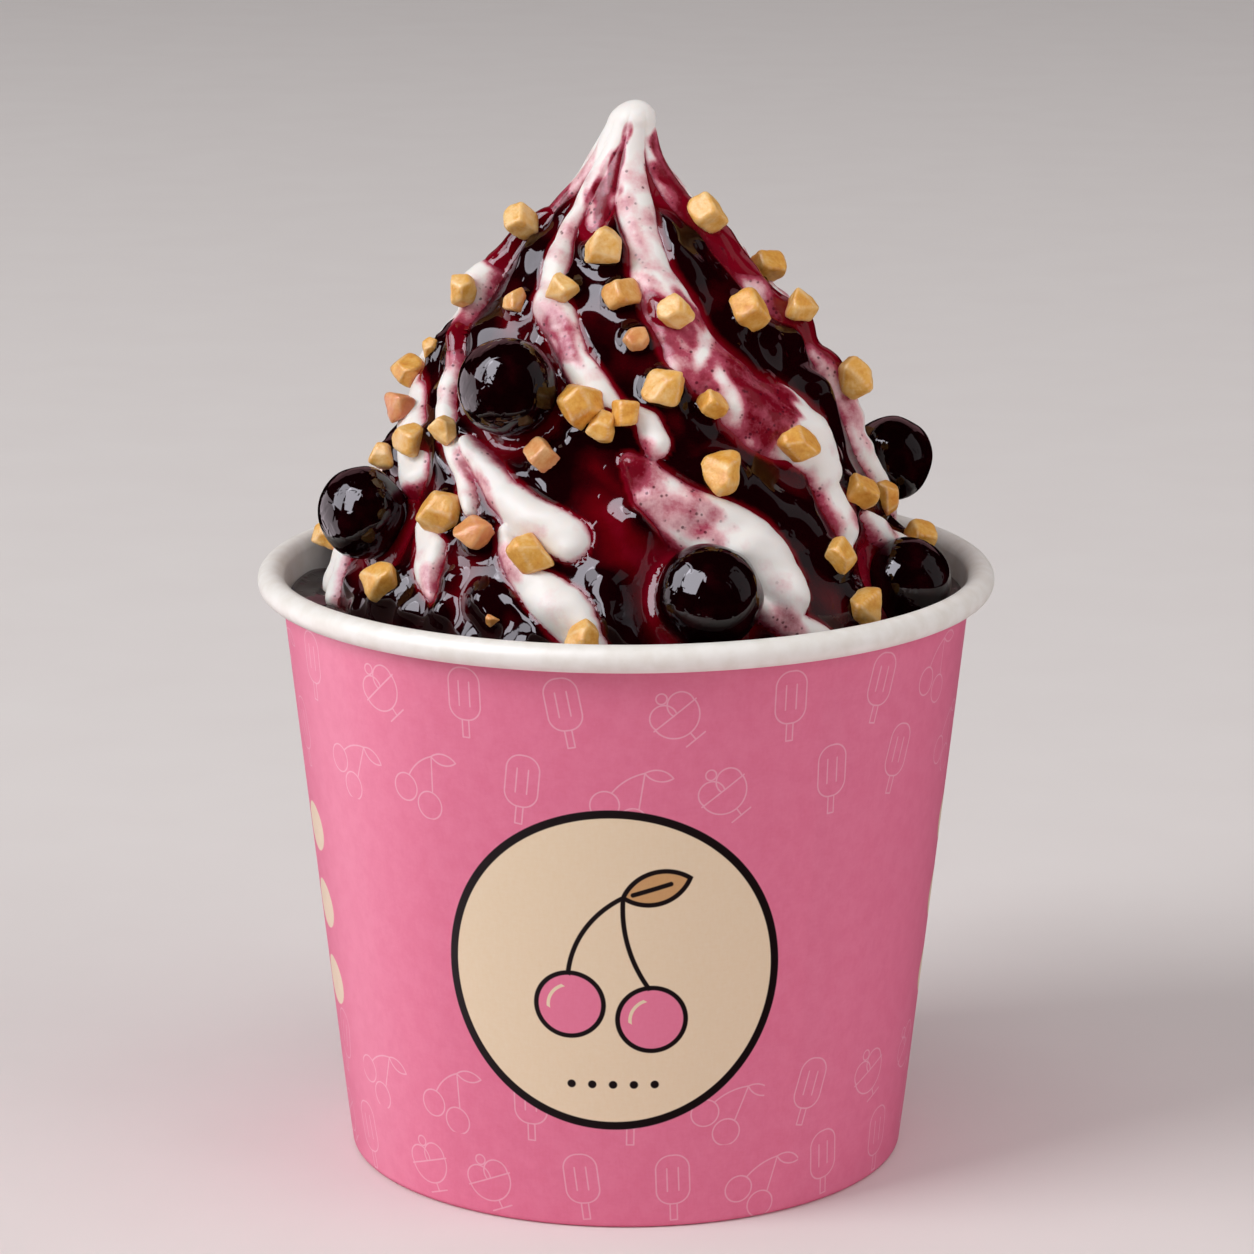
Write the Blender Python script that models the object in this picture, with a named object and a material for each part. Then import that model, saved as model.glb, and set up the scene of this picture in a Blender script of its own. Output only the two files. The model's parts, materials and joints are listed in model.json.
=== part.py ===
"""Cherry sundae in a paper tub, modelled at real size in metres with +Z up.

The tub stands on z = 0 with its axis on the Z axis, and -Y is its front. Its side wall is
one strip of paper card: the top edge is curled outwards into the rolled rim, and the bottom
edge is folded in and up around the flange of a flat base disc. Soft serve ice cream fills the
tub from the base disc to just under the rim, and rises out of it as one tall fluted swirl.
A pool of cherry sauce lies around the swirl's foot, and whole cherries rest on the swirl and
in the pool, each in a seat that it has pressed for itself.
"""

import math

import bmesh
import bpy
from mathutils import Vector

MM = 0.001

# The tub. Radii are measured to the outside of the card.
CUP_SIDES = 48
CARD = 0.6 * MM
BASE_RADIUS = 42.0 * MM
ROLL_CENTRE_RADIUS = 53.0 * MM
ROLL_CENTRE_HEIGHT = 88.1 * MM
ROLL_RADIUS = 2.0 * MM
ROLL_SWEEP = math.radians(300.0)
ROLL_OUTSIDE_STEPS = 10
ROLL_INSIDE_STEPS = 5

# The foot, where the wall is folded in around the base disc's flange.
FOLD_CHAMFER = 0.3 * MM
FOLD_HEIGHT = 5.2 * MM
DISC_UNDERSIDE = 5.8 * MM
FLANGE_CARD = 0.5 * MM
FLANGE_BOTTOM = 1.3 * MM

# Room left between pieces that touch.
GAP = 0.3 * MM

# The ice cream. Its swirl has twisted flutes, and the outline runs along their crests.
COLUMNS_PER_FLUTE = 6
FLUTES = 8
COLUMNS = COLUMNS_PER_FLUTE * FLUTES
SHELF_HEIGHT = 80.0 * MM
CREST_OUTLINE = (
    (79.0 * MM, 46.0 * MM),
    (90.0 * MM, 44.6 * MM),
    (99.0 * MM, 40.4 * MM),
    (107.0 * MM, 36.6 * MM),
    (115.0 * MM, 33.2 * MM),
    (123.0 * MM, 28.9 * MM),
    (131.0 * MM, 22.9 * MM),
    (138.5 * MM, 16.4 * MM),
    (145.5 * MM, 9.7 * MM),
    (151.0 * MM, 5.5 * MM),
    (155.5 * MM, 3.7 * MM),
)
TIP_HEIGHT = 159.1 * MM
TIP_RADIUS = 3.7 * MM
TIP_RINGS = 3
SWIRL_RINGS = 22
FLUTE_DEPTH = 4.8 * MM
FLUTE_ONSET = 13.0 * MM
FLUTE_TURN = math.radians(95.0)
TURN_MIDDLE = 112.0 * MM
TURN_SPREAD = 7.0 * MM
FRONT_FLUTE = math.radians(10.0)
TIP_LEAN = 1.0 * MM
TIP_LEAN_HEIGHT = 150.0 * MM

# The sauce pool between the swirl's foot and the tub's wall.
POOL_FLOOR = SHELF_HEIGHT + GAP
POOL_LEVEL = 85.0 * MM
POOL_CLIMB = 1.5 * MM
POOL_RIPPLE = 0.35 * MM

# The cherries: bearing from the front (positive to the right), distance of the centre from
# the tub's axis, height of the centre, and radius.
CHERRIES = (
    (-32.5, 31.4 * MM, 121.4 * MM, 7.15 * MM),
    (-68.0, 41.2 * MM, 100.7 * MM, 6.75 * MM),
    (15.7, 43.0 * MM, 94.3 * MM, 7.45 * MM),
    (70.6, 43.4 * MM, 90.0 * MM, 6.75 * MM),
    (100.0, 40.2 * MM, 104.2 * MM, 6.40 * MM),
    (148.0, 31.0 * MM, 121.0 * MM, 7.00 * MM),
    (-118.0, 43.3 * MM, 91.2 * MM, 6.90 * MM),
    (-164.0, 41.4 * MM, 99.5 * MM, 7.20 * MM),
)
CHERRY_SIDES = 14
CHERRY_RINGS = 9
CHERRY_SQUASH = 0.04
STEM_PIT = 0.12
STEM_PIT_WIDTH = math.radians(26.0)
STEM_TILT = math.radians(55.0)
SEAT_ALLOWANCE = 0.45 * MM


def clear_scene():
    """Remove every object that the scene holds."""
    for item in list(bpy.data.objects):
        bpy.data.objects.remove(item, do_unlink=True)


def make_material(name, colour, roughness, metallic=0.0):
    """Return a Principled BSDF material of one colour."""
    material = bpy.data.materials.new(name)
    material.use_nodes = True
    shader = material.node_tree.nodes["Principled BSDF"]
    shader.inputs["Base Color"].default_value = (*colour, 1.0)
    shader.inputs["Roughness"].default_value = roughness
    shader.inputs["Metallic"].default_value = metallic
    return material


def add_object(name, mesh, material=None):
    """Link a mesh to the scene as a named object with its material."""
    if material is not None:
        mesh.materials.append(material)
    item = bpy.data.objects.new(name, mesh)
    bpy.context.collection.objects.link(item)
    return item


def mesh_from(bm, name):
    """Turn a bmesh into a smooth shaded mesh whose faces point outwards."""
    bmesh.ops.recalc_face_normals(bm, faces=bm.faces)
    mesh = bpy.data.meshes.new(name)
    bm.to_mesh(mesh)
    bm.free()
    mesh.shade_smooth()
    mesh.set_sharp_from_angle(angle=math.radians(40.0))
    return mesh


def arc(centre, radius, start, sweep, steps):
    """Return points (radius, height) along an arc, both ends included."""
    points = []
    for step in range(steps + 1):
        angle = start + sweep * step / steps
        points.append((centre[0] + radius * math.cos(angle), centre[1] + radius * math.sin(angle)))
    return points


def turned(name, outline, closed):
    """Spin an outline of (radius, height) points about the Z axis.

    A closed outline goes all the way round, such as a ring's section. An open one starts and
    ends on the axis.
    """
    bm = bmesh.new()
    verts = [bm.verts.new((radius, 0.0, height)) for radius, height in outline]
    pairs = list(zip(verts, verts[1:]))
    if closed:
        pairs.append((verts[-1], verts[0]))
    edges = [bm.edges.new(pair) for pair in pairs]
    bmesh.ops.spin(
        bm,
        geom=verts + edges,
        cent=(0.0, 0.0, 0.0),
        axis=(0.0, 0.0, 1.0),
        angle=math.tau,
        steps=CUP_SIDES,
    )
    bmesh.ops.remove_doubles(bm, verts=bm.verts, dist=0.01 * MM)
    return mesh_from(bm, name)


# ---------------------------------------------------------------- the tub


def wall_outside(height):
    """Radius of the wall's outer face: a straight cone from the foot to the rolled rim."""
    top = ROLL_CENTRE_RADIUS - ROLL_RADIUS + CARD
    return BASE_RADIUS + (top - BASE_RADIUS) * height / ROLL_CENTRE_HEIGHT


def wall_inside(height):
    """Radius of the wall's inner face."""
    return wall_outside(height) - CARD


def inside_flats(height):
    """Radius that clears the flats of the many-sided inner face by the usual gap."""
    return wall_inside(height) * math.cos(math.pi / CUP_SIDES) - GAP


def build_cup_wall(material):
    """Side wall with its rolled rim and its bottom edge folded in and up."""
    roll = (ROLL_CENTRE_RADIUS, ROLL_CENTRE_HEIGHT)
    roll_outside = arc(roll, ROLL_RADIUS, math.pi, -ROLL_SWEEP, ROLL_OUTSIDE_STEPS)
    roll_inside = arc(roll, ROLL_RADIUS - CARD, math.pi, -ROLL_SWEEP, ROLL_INSIDE_STEPS)
    pocket = FLANGE_CARD + 2.0 * GAP + 0.3 * MM
    fold_outside = wall_inside(0.0) - pocket
    lean = wall_outside(FOLD_HEIGHT) - wall_outside(0.0)
    outline = [
        (BASE_RADIUS - FOLD_CHAMFER, 0.0),
        (BASE_RADIUS, FOLD_CHAMFER),
        *roll_inside,
        *reversed(roll_outside),
        (wall_inside(CARD), CARD),
        (fold_outside, CARD),
        (fold_outside + lean, FOLD_HEIGHT),
        (fold_outside + lean - CARD, FOLD_HEIGHT),
        (fold_outside - CARD, FOLD_CHAMFER),
        (fold_outside - CARD + FOLD_CHAMFER, 0.0),
    ]
    return add_object("cup_wall", turned("cup_wall", outline, closed=True), material)


def build_cup_base(material):
    """Flat base disc with the flange that is gripped in the fold of the wall."""
    top = DISC_UNDERSIDE + FLANGE_CARD
    rim = inside_flats(top)
    foot = inside_flats(FLANGE_BOTTOM)
    corner = FLANGE_CARD
    outline = [
        (0.0, DISC_UNDERSIDE),
        (rim - 2.0 * FLANGE_CARD, DISC_UNDERSIDE),
        (rim - FLANGE_CARD - 0.1 * MM, DISC_UNDERSIDE - corner),
        (foot - FLANGE_CARD, FLANGE_BOTTOM),
        (foot, FLANGE_BOTTOM),
        (inside_flats(top - corner), top - corner),
        (rim - corner, top),
        (0.0, top),
    ]
    return add_object("cup_base", turned("cup_base", outline, closed=False), material)


# ---------------------------------------------------------------- the ice cream


def crest_radius(height):
    """Radius of the flutes' crests at a height, on a smooth curve through the outline."""
    points = CREST_OUTLINE
    last = len(points) - 1
    if height >= points[last][0]:
        rise = (height - points[last][0]) / (TIP_HEIGHT - points[last][0])
        return TIP_RADIUS * math.sqrt(max(0.0, 1.0 - rise * rise))
    span = max(k for k in range(last) if height >= points[k][0])
    low, high = points[span], points[span + 1]
    before = points[max(span - 1, 0)]
    after = points[min(span + 2, last)]
    width = high[0] - low[0]
    t = (height - low[0]) / width
    slope_low = (high[1] - before[1]) / (high[0] - before[0]) * width
    slope_high = (after[1] - low[1]) / (after[0] - low[0]) * width
    return (
        (2 * t**3 - 3 * t**2 + 1) * low[1]
        + (t**3 - 2 * t**2 + t) * slope_low
        + (3 * t**2 - 2 * t**3) * high[1]
        + (t**3 - t**2) * slope_high
    )


def flute_bearing(height):
    """Bearing of the front flute: upright at the tip, then sweeping round to the right."""
    turned_by = FLUTE_TURN / (1.0 + math.exp((height - TURN_MIDDLE) / TURN_SPREAD))
    return FRONT_FLUTE + turned_by


def flute_fall(column):
    """How far a column lies below its flute's crest, from 0 on the crest to 1 in the valley."""
    across = (column % COLUMNS_PER_FLUTE) / COLUMNS_PER_FLUTE
    return math.sin(math.pi * across) ** 1.5


def flute_share(column):
    """Uneven depth of the flutes, as a share of the full depth."""
    flute = column // COLUMNS_PER_FLUTE
    return 0.85 + 0.15 * math.sin(2.3 * flute)


def swirl_point(column, height, clearance=0.0):
    """Point on the swirl, on one of the columns that follow the flutes."""
    crest = crest_radius(height)
    depth = FLUTE_DEPTH * (1.0 - math.exp(-crest / FLUTE_ONSET)) * flute_share(column)
    if height > CREST_OUTLINE[-1][0]:
        depth *= (TIP_HEIGHT - height) / (TIP_HEIGHT - CREST_OUTLINE[-1][0])
    radius = crest - depth * flute_fall(column) + clearance
    bearing = flute_bearing(height) + math.tau * column / COLUMNS
    lean = TIP_LEAN * max(0.0, (height - TIP_LEAN_HEIGHT) / (TIP_HEIGHT - TIP_LEAN_HEIGHT))
    return (lean + radius * math.sin(bearing), -radius * math.cos(bearing), height)


def ring_point(column, radius, height):
    """Point on a plain circle, on the bearing that the column has at the swirl's foot."""
    bearing = flute_bearing(SHELF_HEIGHT) + math.tau * column / COLUMNS
    return (radius * math.sin(bearing), -radius * math.cos(bearing), height)


def bridge(bm, lower, upper):
    """Join two rings of the same number of vertices with a band of faces."""
    count = len(lower)
    for k in range(count):
        after = (k + 1) % count
        bm.faces.new((lower[k], lower[after], upper[after], upper[k]))


def cap(bm, ring, point):
    """Close a ring with a fan of triangles to one point."""
    pole = bm.verts.new(point)
    for k, vert in enumerate(ring):
        bm.faces.new((vert, ring[(k + 1) % len(ring)], pole))


def swirl_heights():
    """Heights of the swirl's rings: the foot's own levels, then even steps to the tip."""
    heights = [SHELF_HEIGHT, 0.5 * (POOL_FLOOR + POOL_LEVEL), POOL_LEVEL, POOL_LEVEL + POOL_CLIMB]
    start = heights[-1]
    top = CREST_OUTLINE[-1][0]
    for step in range(1, SWIRL_RINGS + 1):
        heights.append(start + (top - start) * step / SWIRL_RINGS)
    for step in range(1, TIP_RINGS + 1):
        heights.append(top + (TIP_HEIGHT - top) * math.sin(0.5 * math.pi * step / (TIP_RINGS + 1)))
    return heights


def build_soft_serve(material):
    """Ice cream from the base disc up: the fill inside the tub and the fluted swirl on it."""
    floor = DISC_UNDERSIDE + FLANGE_CARD + GAP
    bm = bmesh.new()
    plain_rings = [(floor, inside_flats(floor)), (SHELF_HEIGHT, inside_flats(SHELF_HEIGHT))]
    rings = []
    for height, radius in plain_rings:
        points = [ring_point(column, radius, height) for column in range(COLUMNS)]
        rings.append([bm.verts.new(point) for point in points])
    for height in swirl_heights():
        points = [swirl_point(column, height) for column in range(COLUMNS)]
        rings.append([bm.verts.new(point) for point in points])
    for lower, upper in zip(rings, rings[1:]):
        bridge(bm, lower, upper)
    cap(bm, rings[0], (0.0, 0.0, floor))
    cap(bm, rings[-1], (TIP_LEAN, 0.0, TIP_HEIGHT))
    return add_object("soft_serve", mesh_from(bm, "soft_serve"), material)


def build_sauce_pool(material):
    """Ring of sauce between the swirl's foot and the wall, drawn up a little at both."""
    bm = bmesh.new()
    clearance = GAP + 0.1 * MM
    middle_share = 0.5

    def ripple(column):
        return POOL_RIPPLE * math.sin(math.tau * 5 * column / COLUMNS + 0.7)

    def inner_ring(height):
        points = [swirl_point(column, height, clearance) for column in range(COLUMNS)]
        return [bm.verts.new(point) for point in points]

    def outer_ring(height, rippled):
        points = []
        for column in range(COLUMNS):
            level = height + (ripple(column) if rippled else 0.0)
            points.append(ring_point(column, inside_flats(height), level))
        return [bm.verts.new(point) for point in points]

    def surface_ring():
        verts = []
        for column in range(COLUMNS):
            inner = Vector(swirl_point(column, POOL_LEVEL, clearance))
            outer = Vector(ring_point(column, inside_flats(POOL_LEVEL), POOL_LEVEL))
            point = inner.lerp(outer, middle_share)
            point.z = POOL_LEVEL - ripple(column)
            verts.append(bm.verts.new(point))
        return verts

    rings = [
        inner_ring(POOL_FLOOR),
        outer_ring(POOL_FLOOR, rippled=False),
        outer_ring(POOL_LEVEL, rippled=True),
        surface_ring(),
        inner_ring(POOL_LEVEL + POOL_CLIMB),
        inner_ring(POOL_LEVEL),
        inner_ring(0.5 * (POOL_FLOOR + POOL_LEVEL)),
    ]
    for lower, upper in zip(rings, rings[1:] + rings[:1]):
        bridge(bm, lower, upper)
    return add_object("sauce_pool", mesh_from(bm, "sauce_pool"), material)


# ---------------------------------------------------------------- the cherries


def cherry_centre(bearing, distance, height):
    """Centre of a cherry in world coordinates."""
    return Vector((distance * math.sin(bearing), -distance * math.cos(bearing), height))


def cherry_turn(bearing):
    """Rotation that tips a cherry's stem pit up and back towards the swirl's axis."""
    inwards = Vector((-math.sin(bearing), math.cos(bearing), 0.0))
    pit = inwards * math.sin(STEM_TILT) + Vector((0.0, 0.0, math.cos(STEM_TILT)))
    return Vector((0.0, 0.0, 1.0)).rotation_difference(pit).to_matrix()


def cherry_rings(radius, pit_share):
    """Rings (radius, height) of a cherry from its foot to its stem pit, without the poles."""
    rings = []
    for step in range(1, CHERRY_RINGS):
        polar = math.pi * (1.0 - step / CHERRY_RINGS)
        pit = pit_share * math.exp(-((polar / STEM_PIT_WIDTH) ** 2))
        height = radius * (math.cos(polar) * (1.0 - CHERRY_SQUASH) - pit)
        rings.append((radius * math.sin(polar), height))
    return rings


def add_cherry_body(bm, cherry, grow=0.0, pit_share=STEM_PIT):
    """Add one cherry's closed surface to a bmesh, in world coordinates."""
    bearing = math.radians(cherry[0])
    centre = cherry_centre(bearing, cherry[1], cherry[2])
    turn = cherry_turn(bearing)
    radius = cherry[3] + grow
    rings = []
    for ring_radius, height in cherry_rings(radius, pit_share):
        ring = []
        for side in range(CHERRY_SIDES):
            angle = math.tau * side / CHERRY_SIDES
            local = Vector((ring_radius * math.cos(angle), ring_radius * math.sin(angle), height))
            ring.append(bm.verts.new(centre + turn @ local))
        rings.append(ring)
    for lower, upper in zip(rings, rings[1:]):
        bridge(bm, lower, upper)
    foot = radius * (1.0 - CHERRY_SQUASH)
    cap(bm, rings[0], centre + turn @ Vector((0.0, 0.0, -foot)))
    cap(bm, rings[-1], centre + turn @ Vector((0.0, 0.0, foot - radius * pit_share)))


def build_cherries(material):
    """Every cherry as a piece of its own."""
    for number, cherry in enumerate(CHERRIES, start=1):
        name = f"cherry_{number}"
        bm = bmesh.new()
        add_cherry_body(bm, cherry)
        add_object(name, mesh_from(bm, name), material)


def build_seat_cutter():
    """Slightly larger cherries without pits, which press the seats into cream and sauce."""
    bm = bmesh.new()
    for cherry in CHERRIES:
        add_cherry_body(bm, cherry, grow=SEAT_ALLOWANCE, pit_share=0.0)
    cutter = add_object("seat_cutter", mesh_from(bm, "seat_cutter"))
    cutter.hide_render = True
    cutter.display_type = "WIRE"
    return cutter


def press_seats(item, cutter):
    """Take the cherries' seats out of a solid."""
    cut = item.modifiers.new("cherry seats", "BOOLEAN")
    cut.operation = "DIFFERENCE"
    cut.solver = "EXACT"
    cut.object = cutter


def main():
    """Build the whole sundae."""
    clear_scene()
    pink_card = make_material("pink_card", (0.74, 0.19, 0.33), 0.62)
    white_card = make_material("white_card", (0.86, 0.85, 0.82), 0.55)
    ice_cream = make_material("ice_cream", (0.87, 0.83, 0.77), 0.45)
    sauce = make_material("cherry_sauce", (0.055, 0.002, 0.006), 0.12)
    cherry_skin = make_material("cherry_skin", (0.030, 0.003, 0.006), 0.10)

    build_cup_wall(pink_card)
    build_cup_base(white_card)
    soft_serve = build_soft_serve(ice_cream)
    sauce_pool = build_sauce_pool(sauce)
    build_cherries(cherry_skin)
    cutter = build_seat_cutter()
    press_seats(soft_serve, cutter)
    press_seats(sauce_pool, cutter)


main()
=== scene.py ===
"""Looks of a cherry sundae in a paper tub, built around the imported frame.

The tub stands on z = 0 with its axis on the Z axis, and -Y is its front. A bearing is an angle
about that axis, 0 at the front and positive towards the right as seen from there. It is in degrees
in fields and lists of places, and in radians on the grids and in the node trees.
Sizes and places are in millimetres unless a name says otherwise, and meshes are made in metres.
The swirl, its sauce and all that lies on it are worked out on one floor line, which is turned
about the axis: a relief is a rise above that line, row by row and column by column.
"""

import json
import logging
import math
from dataclasses import dataclass, field
from enum import Enum
from typing import Any, Callable, Sequence, TypeAlias

import bmesh
import bpy
import numpy as np
from bpy.types import Material, Mesh, Node, NodeSocket, NodeTree, Object, World
from mathutils import Euler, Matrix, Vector
from mathutils.bvhtree import BVHTree

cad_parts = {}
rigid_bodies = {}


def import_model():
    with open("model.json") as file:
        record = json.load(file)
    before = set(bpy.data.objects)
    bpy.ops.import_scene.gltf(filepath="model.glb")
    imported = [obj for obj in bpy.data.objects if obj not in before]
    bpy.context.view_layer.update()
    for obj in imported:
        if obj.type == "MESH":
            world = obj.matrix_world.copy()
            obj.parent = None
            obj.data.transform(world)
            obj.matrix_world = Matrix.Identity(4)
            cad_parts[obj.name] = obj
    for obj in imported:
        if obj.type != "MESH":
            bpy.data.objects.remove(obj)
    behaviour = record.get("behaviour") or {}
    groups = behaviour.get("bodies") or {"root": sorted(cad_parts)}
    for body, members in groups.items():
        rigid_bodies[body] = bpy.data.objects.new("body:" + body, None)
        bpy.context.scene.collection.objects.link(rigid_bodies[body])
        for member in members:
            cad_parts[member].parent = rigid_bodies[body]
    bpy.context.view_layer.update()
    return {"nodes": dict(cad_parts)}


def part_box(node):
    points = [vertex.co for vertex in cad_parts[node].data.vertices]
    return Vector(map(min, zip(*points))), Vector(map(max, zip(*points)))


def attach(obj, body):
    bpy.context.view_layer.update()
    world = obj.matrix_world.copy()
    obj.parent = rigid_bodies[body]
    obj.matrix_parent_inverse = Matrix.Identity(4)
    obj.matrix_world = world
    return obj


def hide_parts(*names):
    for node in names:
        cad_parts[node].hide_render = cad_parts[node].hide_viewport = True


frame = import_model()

MM = 0.001
TAU = math.tau
BODY = "root"
LOG = logging.getLogger("sundae")

Colour: TypeAlias = tuple[float, float, float]
Point: TypeAlias = tuple[float, float]
Knots: TypeAlias = tuple[Point, ...]
Array: TypeAlias = np.ndarray
Ball: TypeAlias = tuple[Array, float]
Inputs: TypeAlias = dict[str | int, Any]
Operand: TypeAlias = "Signal | float"


class Slot(Enum):
    """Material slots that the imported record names."""

    PINK_CARD = "pink_card"
    WHITE_CARD = "white_card"
    ICE_CREAM = "ice_cream"
    SAUCE = "cherry_sauce"
    CHERRY = "cherry_skin"
    NUT = "chopped_nut"


def paint(*steps: int) -> Colour:
    """Linear colour of a display colour, given as steps of red, green and blue from 0 to 255."""
    shares = (step / 255 for step in steps)
    return tuple(share / 12.92 if share <= 0.04045 else ((share + 0.055) / 1.055) ** 2.4 for share in shares)


# ---------------- node trees


def math_method(operation: str, reflected: bool = False) -> Callable[..., "Signal"]:
    """Make a method of Signal that adds a Math node.

    Args:
        operation: The Math node's operation.
        reflected: Whether the signal comes last, as in 1 - signal.

    Returns:
        The method.
    """
    def apply(signal: "Signal", *others: Operand) -> "Signal":
        """Add the node to the signal's own tree."""
        return signal.sheet.math(operation, *((*others, signal) if reflected else (signal, *others)))

    return apply


@dataclass(frozen=True)
class Signal:
    """A node's output that Python's operators turn into Math nodes."""

    sheet: "NodeSheet"
    node: Node
    output: str | int = 0

    __add__, __radd__ = math_method("ADD"), math_method("ADD", True)
    __sub__, __rsub__ = math_method("SUBTRACT"), math_method("SUBTRACT", True)
    __mul__, __rmul__ = math_method("MULTIPLY"), math_method("MULTIPLY", True)
    __truediv__, __rtruediv__ = math_method("DIVIDE"), math_method("DIVIDE", True)
    __mod__, __abs__, floor = math_method("FLOORED_MODULO"), math_method("ABSOLUTE"), math_method("FLOOR")
    least, most, above = math_method("MINIMUM"), math_method("MAXIMUM"), math_method("GREATER_THAN")
    sine, cosine = math_method("SINE"), math_method("COSINE")

    @property
    def socket(self) -> NodeSocket:
        """The output socket itself."""
        return self.sheet.find(self.node.outputs, self.output)

    def out(self, output: str | int) -> "Signal":
        """Another output of the same node."""
        return Signal(self.sheet, self.node, output)

    def rise(self, low: Operand, high: Operand) -> "Signal":
        """Smooth step from 0 at low to 1 at high."""
        ends = {"From Min": low, "From Max": high, "Value": self}
        return self.sheet.add("ShaderNodeMapRange", {"interpolation_type": "SMOOTHSTEP"}, ends)

    def fall(self, low: float, high: float) -> "Signal":
        """Smooth step from 1 at low to 0 at high."""
        return 1 - self.rise(low, high)


@dataclass(frozen=True)
class NodeSheet:
    """One node tree, for a material or for geometry, and the ways to add nodes to it."""

    tree: NodeTree

    @staticmethod
    def find(sockets: Any, name: str | int) -> NodeSocket:
        """Find a socket.

        Args:
            sockets: A node's inputs or outputs.
            name: The socket's position, its identifier, or the name of one that is in use.

        Returns:
            The socket.
        """
        if isinstance(name, int):
            return sockets[name]
        found = {socket.name: socket for socket in reversed(sockets[:]) if socket.enabled}
        return (found | {socket.identifier: socket for socket in sockets})[name]

    def feed(self, socket: NodeSocket, value: Any) -> None:
        """Link a signal to an input socket, or set the socket's own value.

        Args:
            socket: A node's input.
            value: A signal, or a number, colour or other value.
        """
        if isinstance(value, Signal):
            self.tree.links.new(value.socket, socket)
        elif socket.type == "RGBA" and len(value) == 3:
            socket.default_value = (*value, 1)
        else:
            socket.default_value = value

    def add(
        self, kind: str, settings: dict[str, Any] | None = None, values: Inputs | None = None,
        output: str | int = 0,
    ) -> Signal:
        """Add one node.

        Args:
            kind: The node's type name.
            settings: Properties of the node, set first; "stops" fills a colour ramp.
            values: Numbers, colours or signals for its inputs, by position or name.
            output: The output that the returned signal stands for.

        Returns:
            The node's output as a signal.
        """
        node = self.tree.nodes.new(kind)
        for name, value in (settings or {}).items():
            if name == "stops":
                self.fill_ramp(node.color_ramp, value)
            else:
                setattr(node, name, value)
        for name, value in (values or {}).items():
            self.feed(self.find(node.inputs, name), value)
        return Signal(self, node, output)

    @staticmethod
    def fill_ramp(ramp: bpy.types.ColorRamp, stops: Sequence[tuple[float, Colour]]) -> None:
        """Give a colour ramp its stops, from left to right.

        Args:
            ramp: The ramp of a new node.
            stops: Places from 0 to 1 with their colours.
        """
        while len(ramp.elements) < len(stops):
            ramp.elements.new(1)
        for element, (place, colour) in zip(ramp.elements, stops):
            element.position = place
            element.color = (*colour, 1)

    def math(self, operation: str, *operands: Operand) -> Signal:
        """Add a Math node."""
        return self.add("ShaderNodeMath", {"operation": operation}, dict(enumerate(operands)))

    def vector_math(self, operation: str, *operands: Any, output: str | int = 0) -> Signal:
        """Add a Vector Math node."""
        return self.add("ShaderNodeVectorMath", {"operation": operation}, dict(enumerate(operands)), output)

    def vector(self, x: Operand, y: Operand, z: Operand = 0) -> Signal:
        """Join three values into a vector."""
        return self.add("ShaderNodeCombineXYZ", values={"X": x, "Y": y, "Z": z})

    def split(self, vector: Signal) -> tuple[Signal, Signal, Signal]:
        """Take a vector apart."""
        parts = self.add("ShaderNodeSeparateXYZ", values={"Vector": vector})
        return parts.out("X"), parts.out("Y"), parts.out("Z")

    def ramp(self, value: Signal, *stops: tuple[float, Colour]) -> Signal:
        """Colour by value, through stops that each give a value and its colour."""
        return self.add("ShaderNodeValToRGB", {"stops": stops}, {"Fac": value}, "Color")

    def mix(self, share: Operand, first: "Signal | Colour", second: "Signal | Colour") -> Signal:
        """Blend two colours: share 0 gives the first, and 1 the second."""
        values = {"Factor_Float": share, "A_Color": first, "B_Color": second}
        return self.add("ShaderNodeMix", {"data_type": "RGBA"}, values, "Result_Color")

    def place(self) -> Signal:
        """Object coordinates, in millimetres."""
        point = self.add("ShaderNodeTexCoord", output="Object")
        return self.vector_math("MULTIPLY", point, (1 / MM,) * 3)

    def attribute(self, name: str) -> Signal:
        """A value that the mesh holds at each of its points."""
        return self.add("ShaderNodeAttribute", {"attribute_name": name}, output="Fac")

    def noise(
        self, at: Signal, size: float, detail: float = 2, roughness: float = 0.5, distortion: float = 0
    ) -> Signal:
        """Cloudy noise from 0 to 1, whose largest lumps are about this size.

        Args:
            at: Where it is read.
            size: Size of its largest lumps.
            detail: Number of finer layers.
            roughness: Share of each finer layer.
            distortion: How far it is swirled.

        Returns:
            The noise.
        """
        values = {"Vector": at, "Scale": 1 / size, "Detail": detail}
        values |= {"Roughness": roughness, "Distortion": distortion}
        return self.add("ShaderNodeTexNoise", None, values)

    def specks(self, at: Signal, size: float) -> Signal:
        """Distance from the middle of the nearest of many scattered points, in shares of their spacing."""
        return self.add("ShaderNodeTexVoronoi", None, {"Vector": at, "Scale": 1 / size})

    def bump(self, height: Signal, depth: float, strength: float, **under: Signal) -> Signal:
        """Normal of a fine relief, from 0 to 1 over a depth in millimetres, perhaps on another Normal."""
        values = {"Height": height, "Distance": depth * MM, "Strength": strength} | under
        return self.add("ShaderNodeBump", None, values)


def blank_sheet(owner: Material | World) -> NodeSheet:
    """Empty the node tree of a new material or world.

    Args:
        owner: The material or world.

    Returns:
        Its node tree.
    """
    owner.use_nodes = True
    owner.node_tree.nodes.clear()
    return NodeSheet(owner.node_tree)


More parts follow.
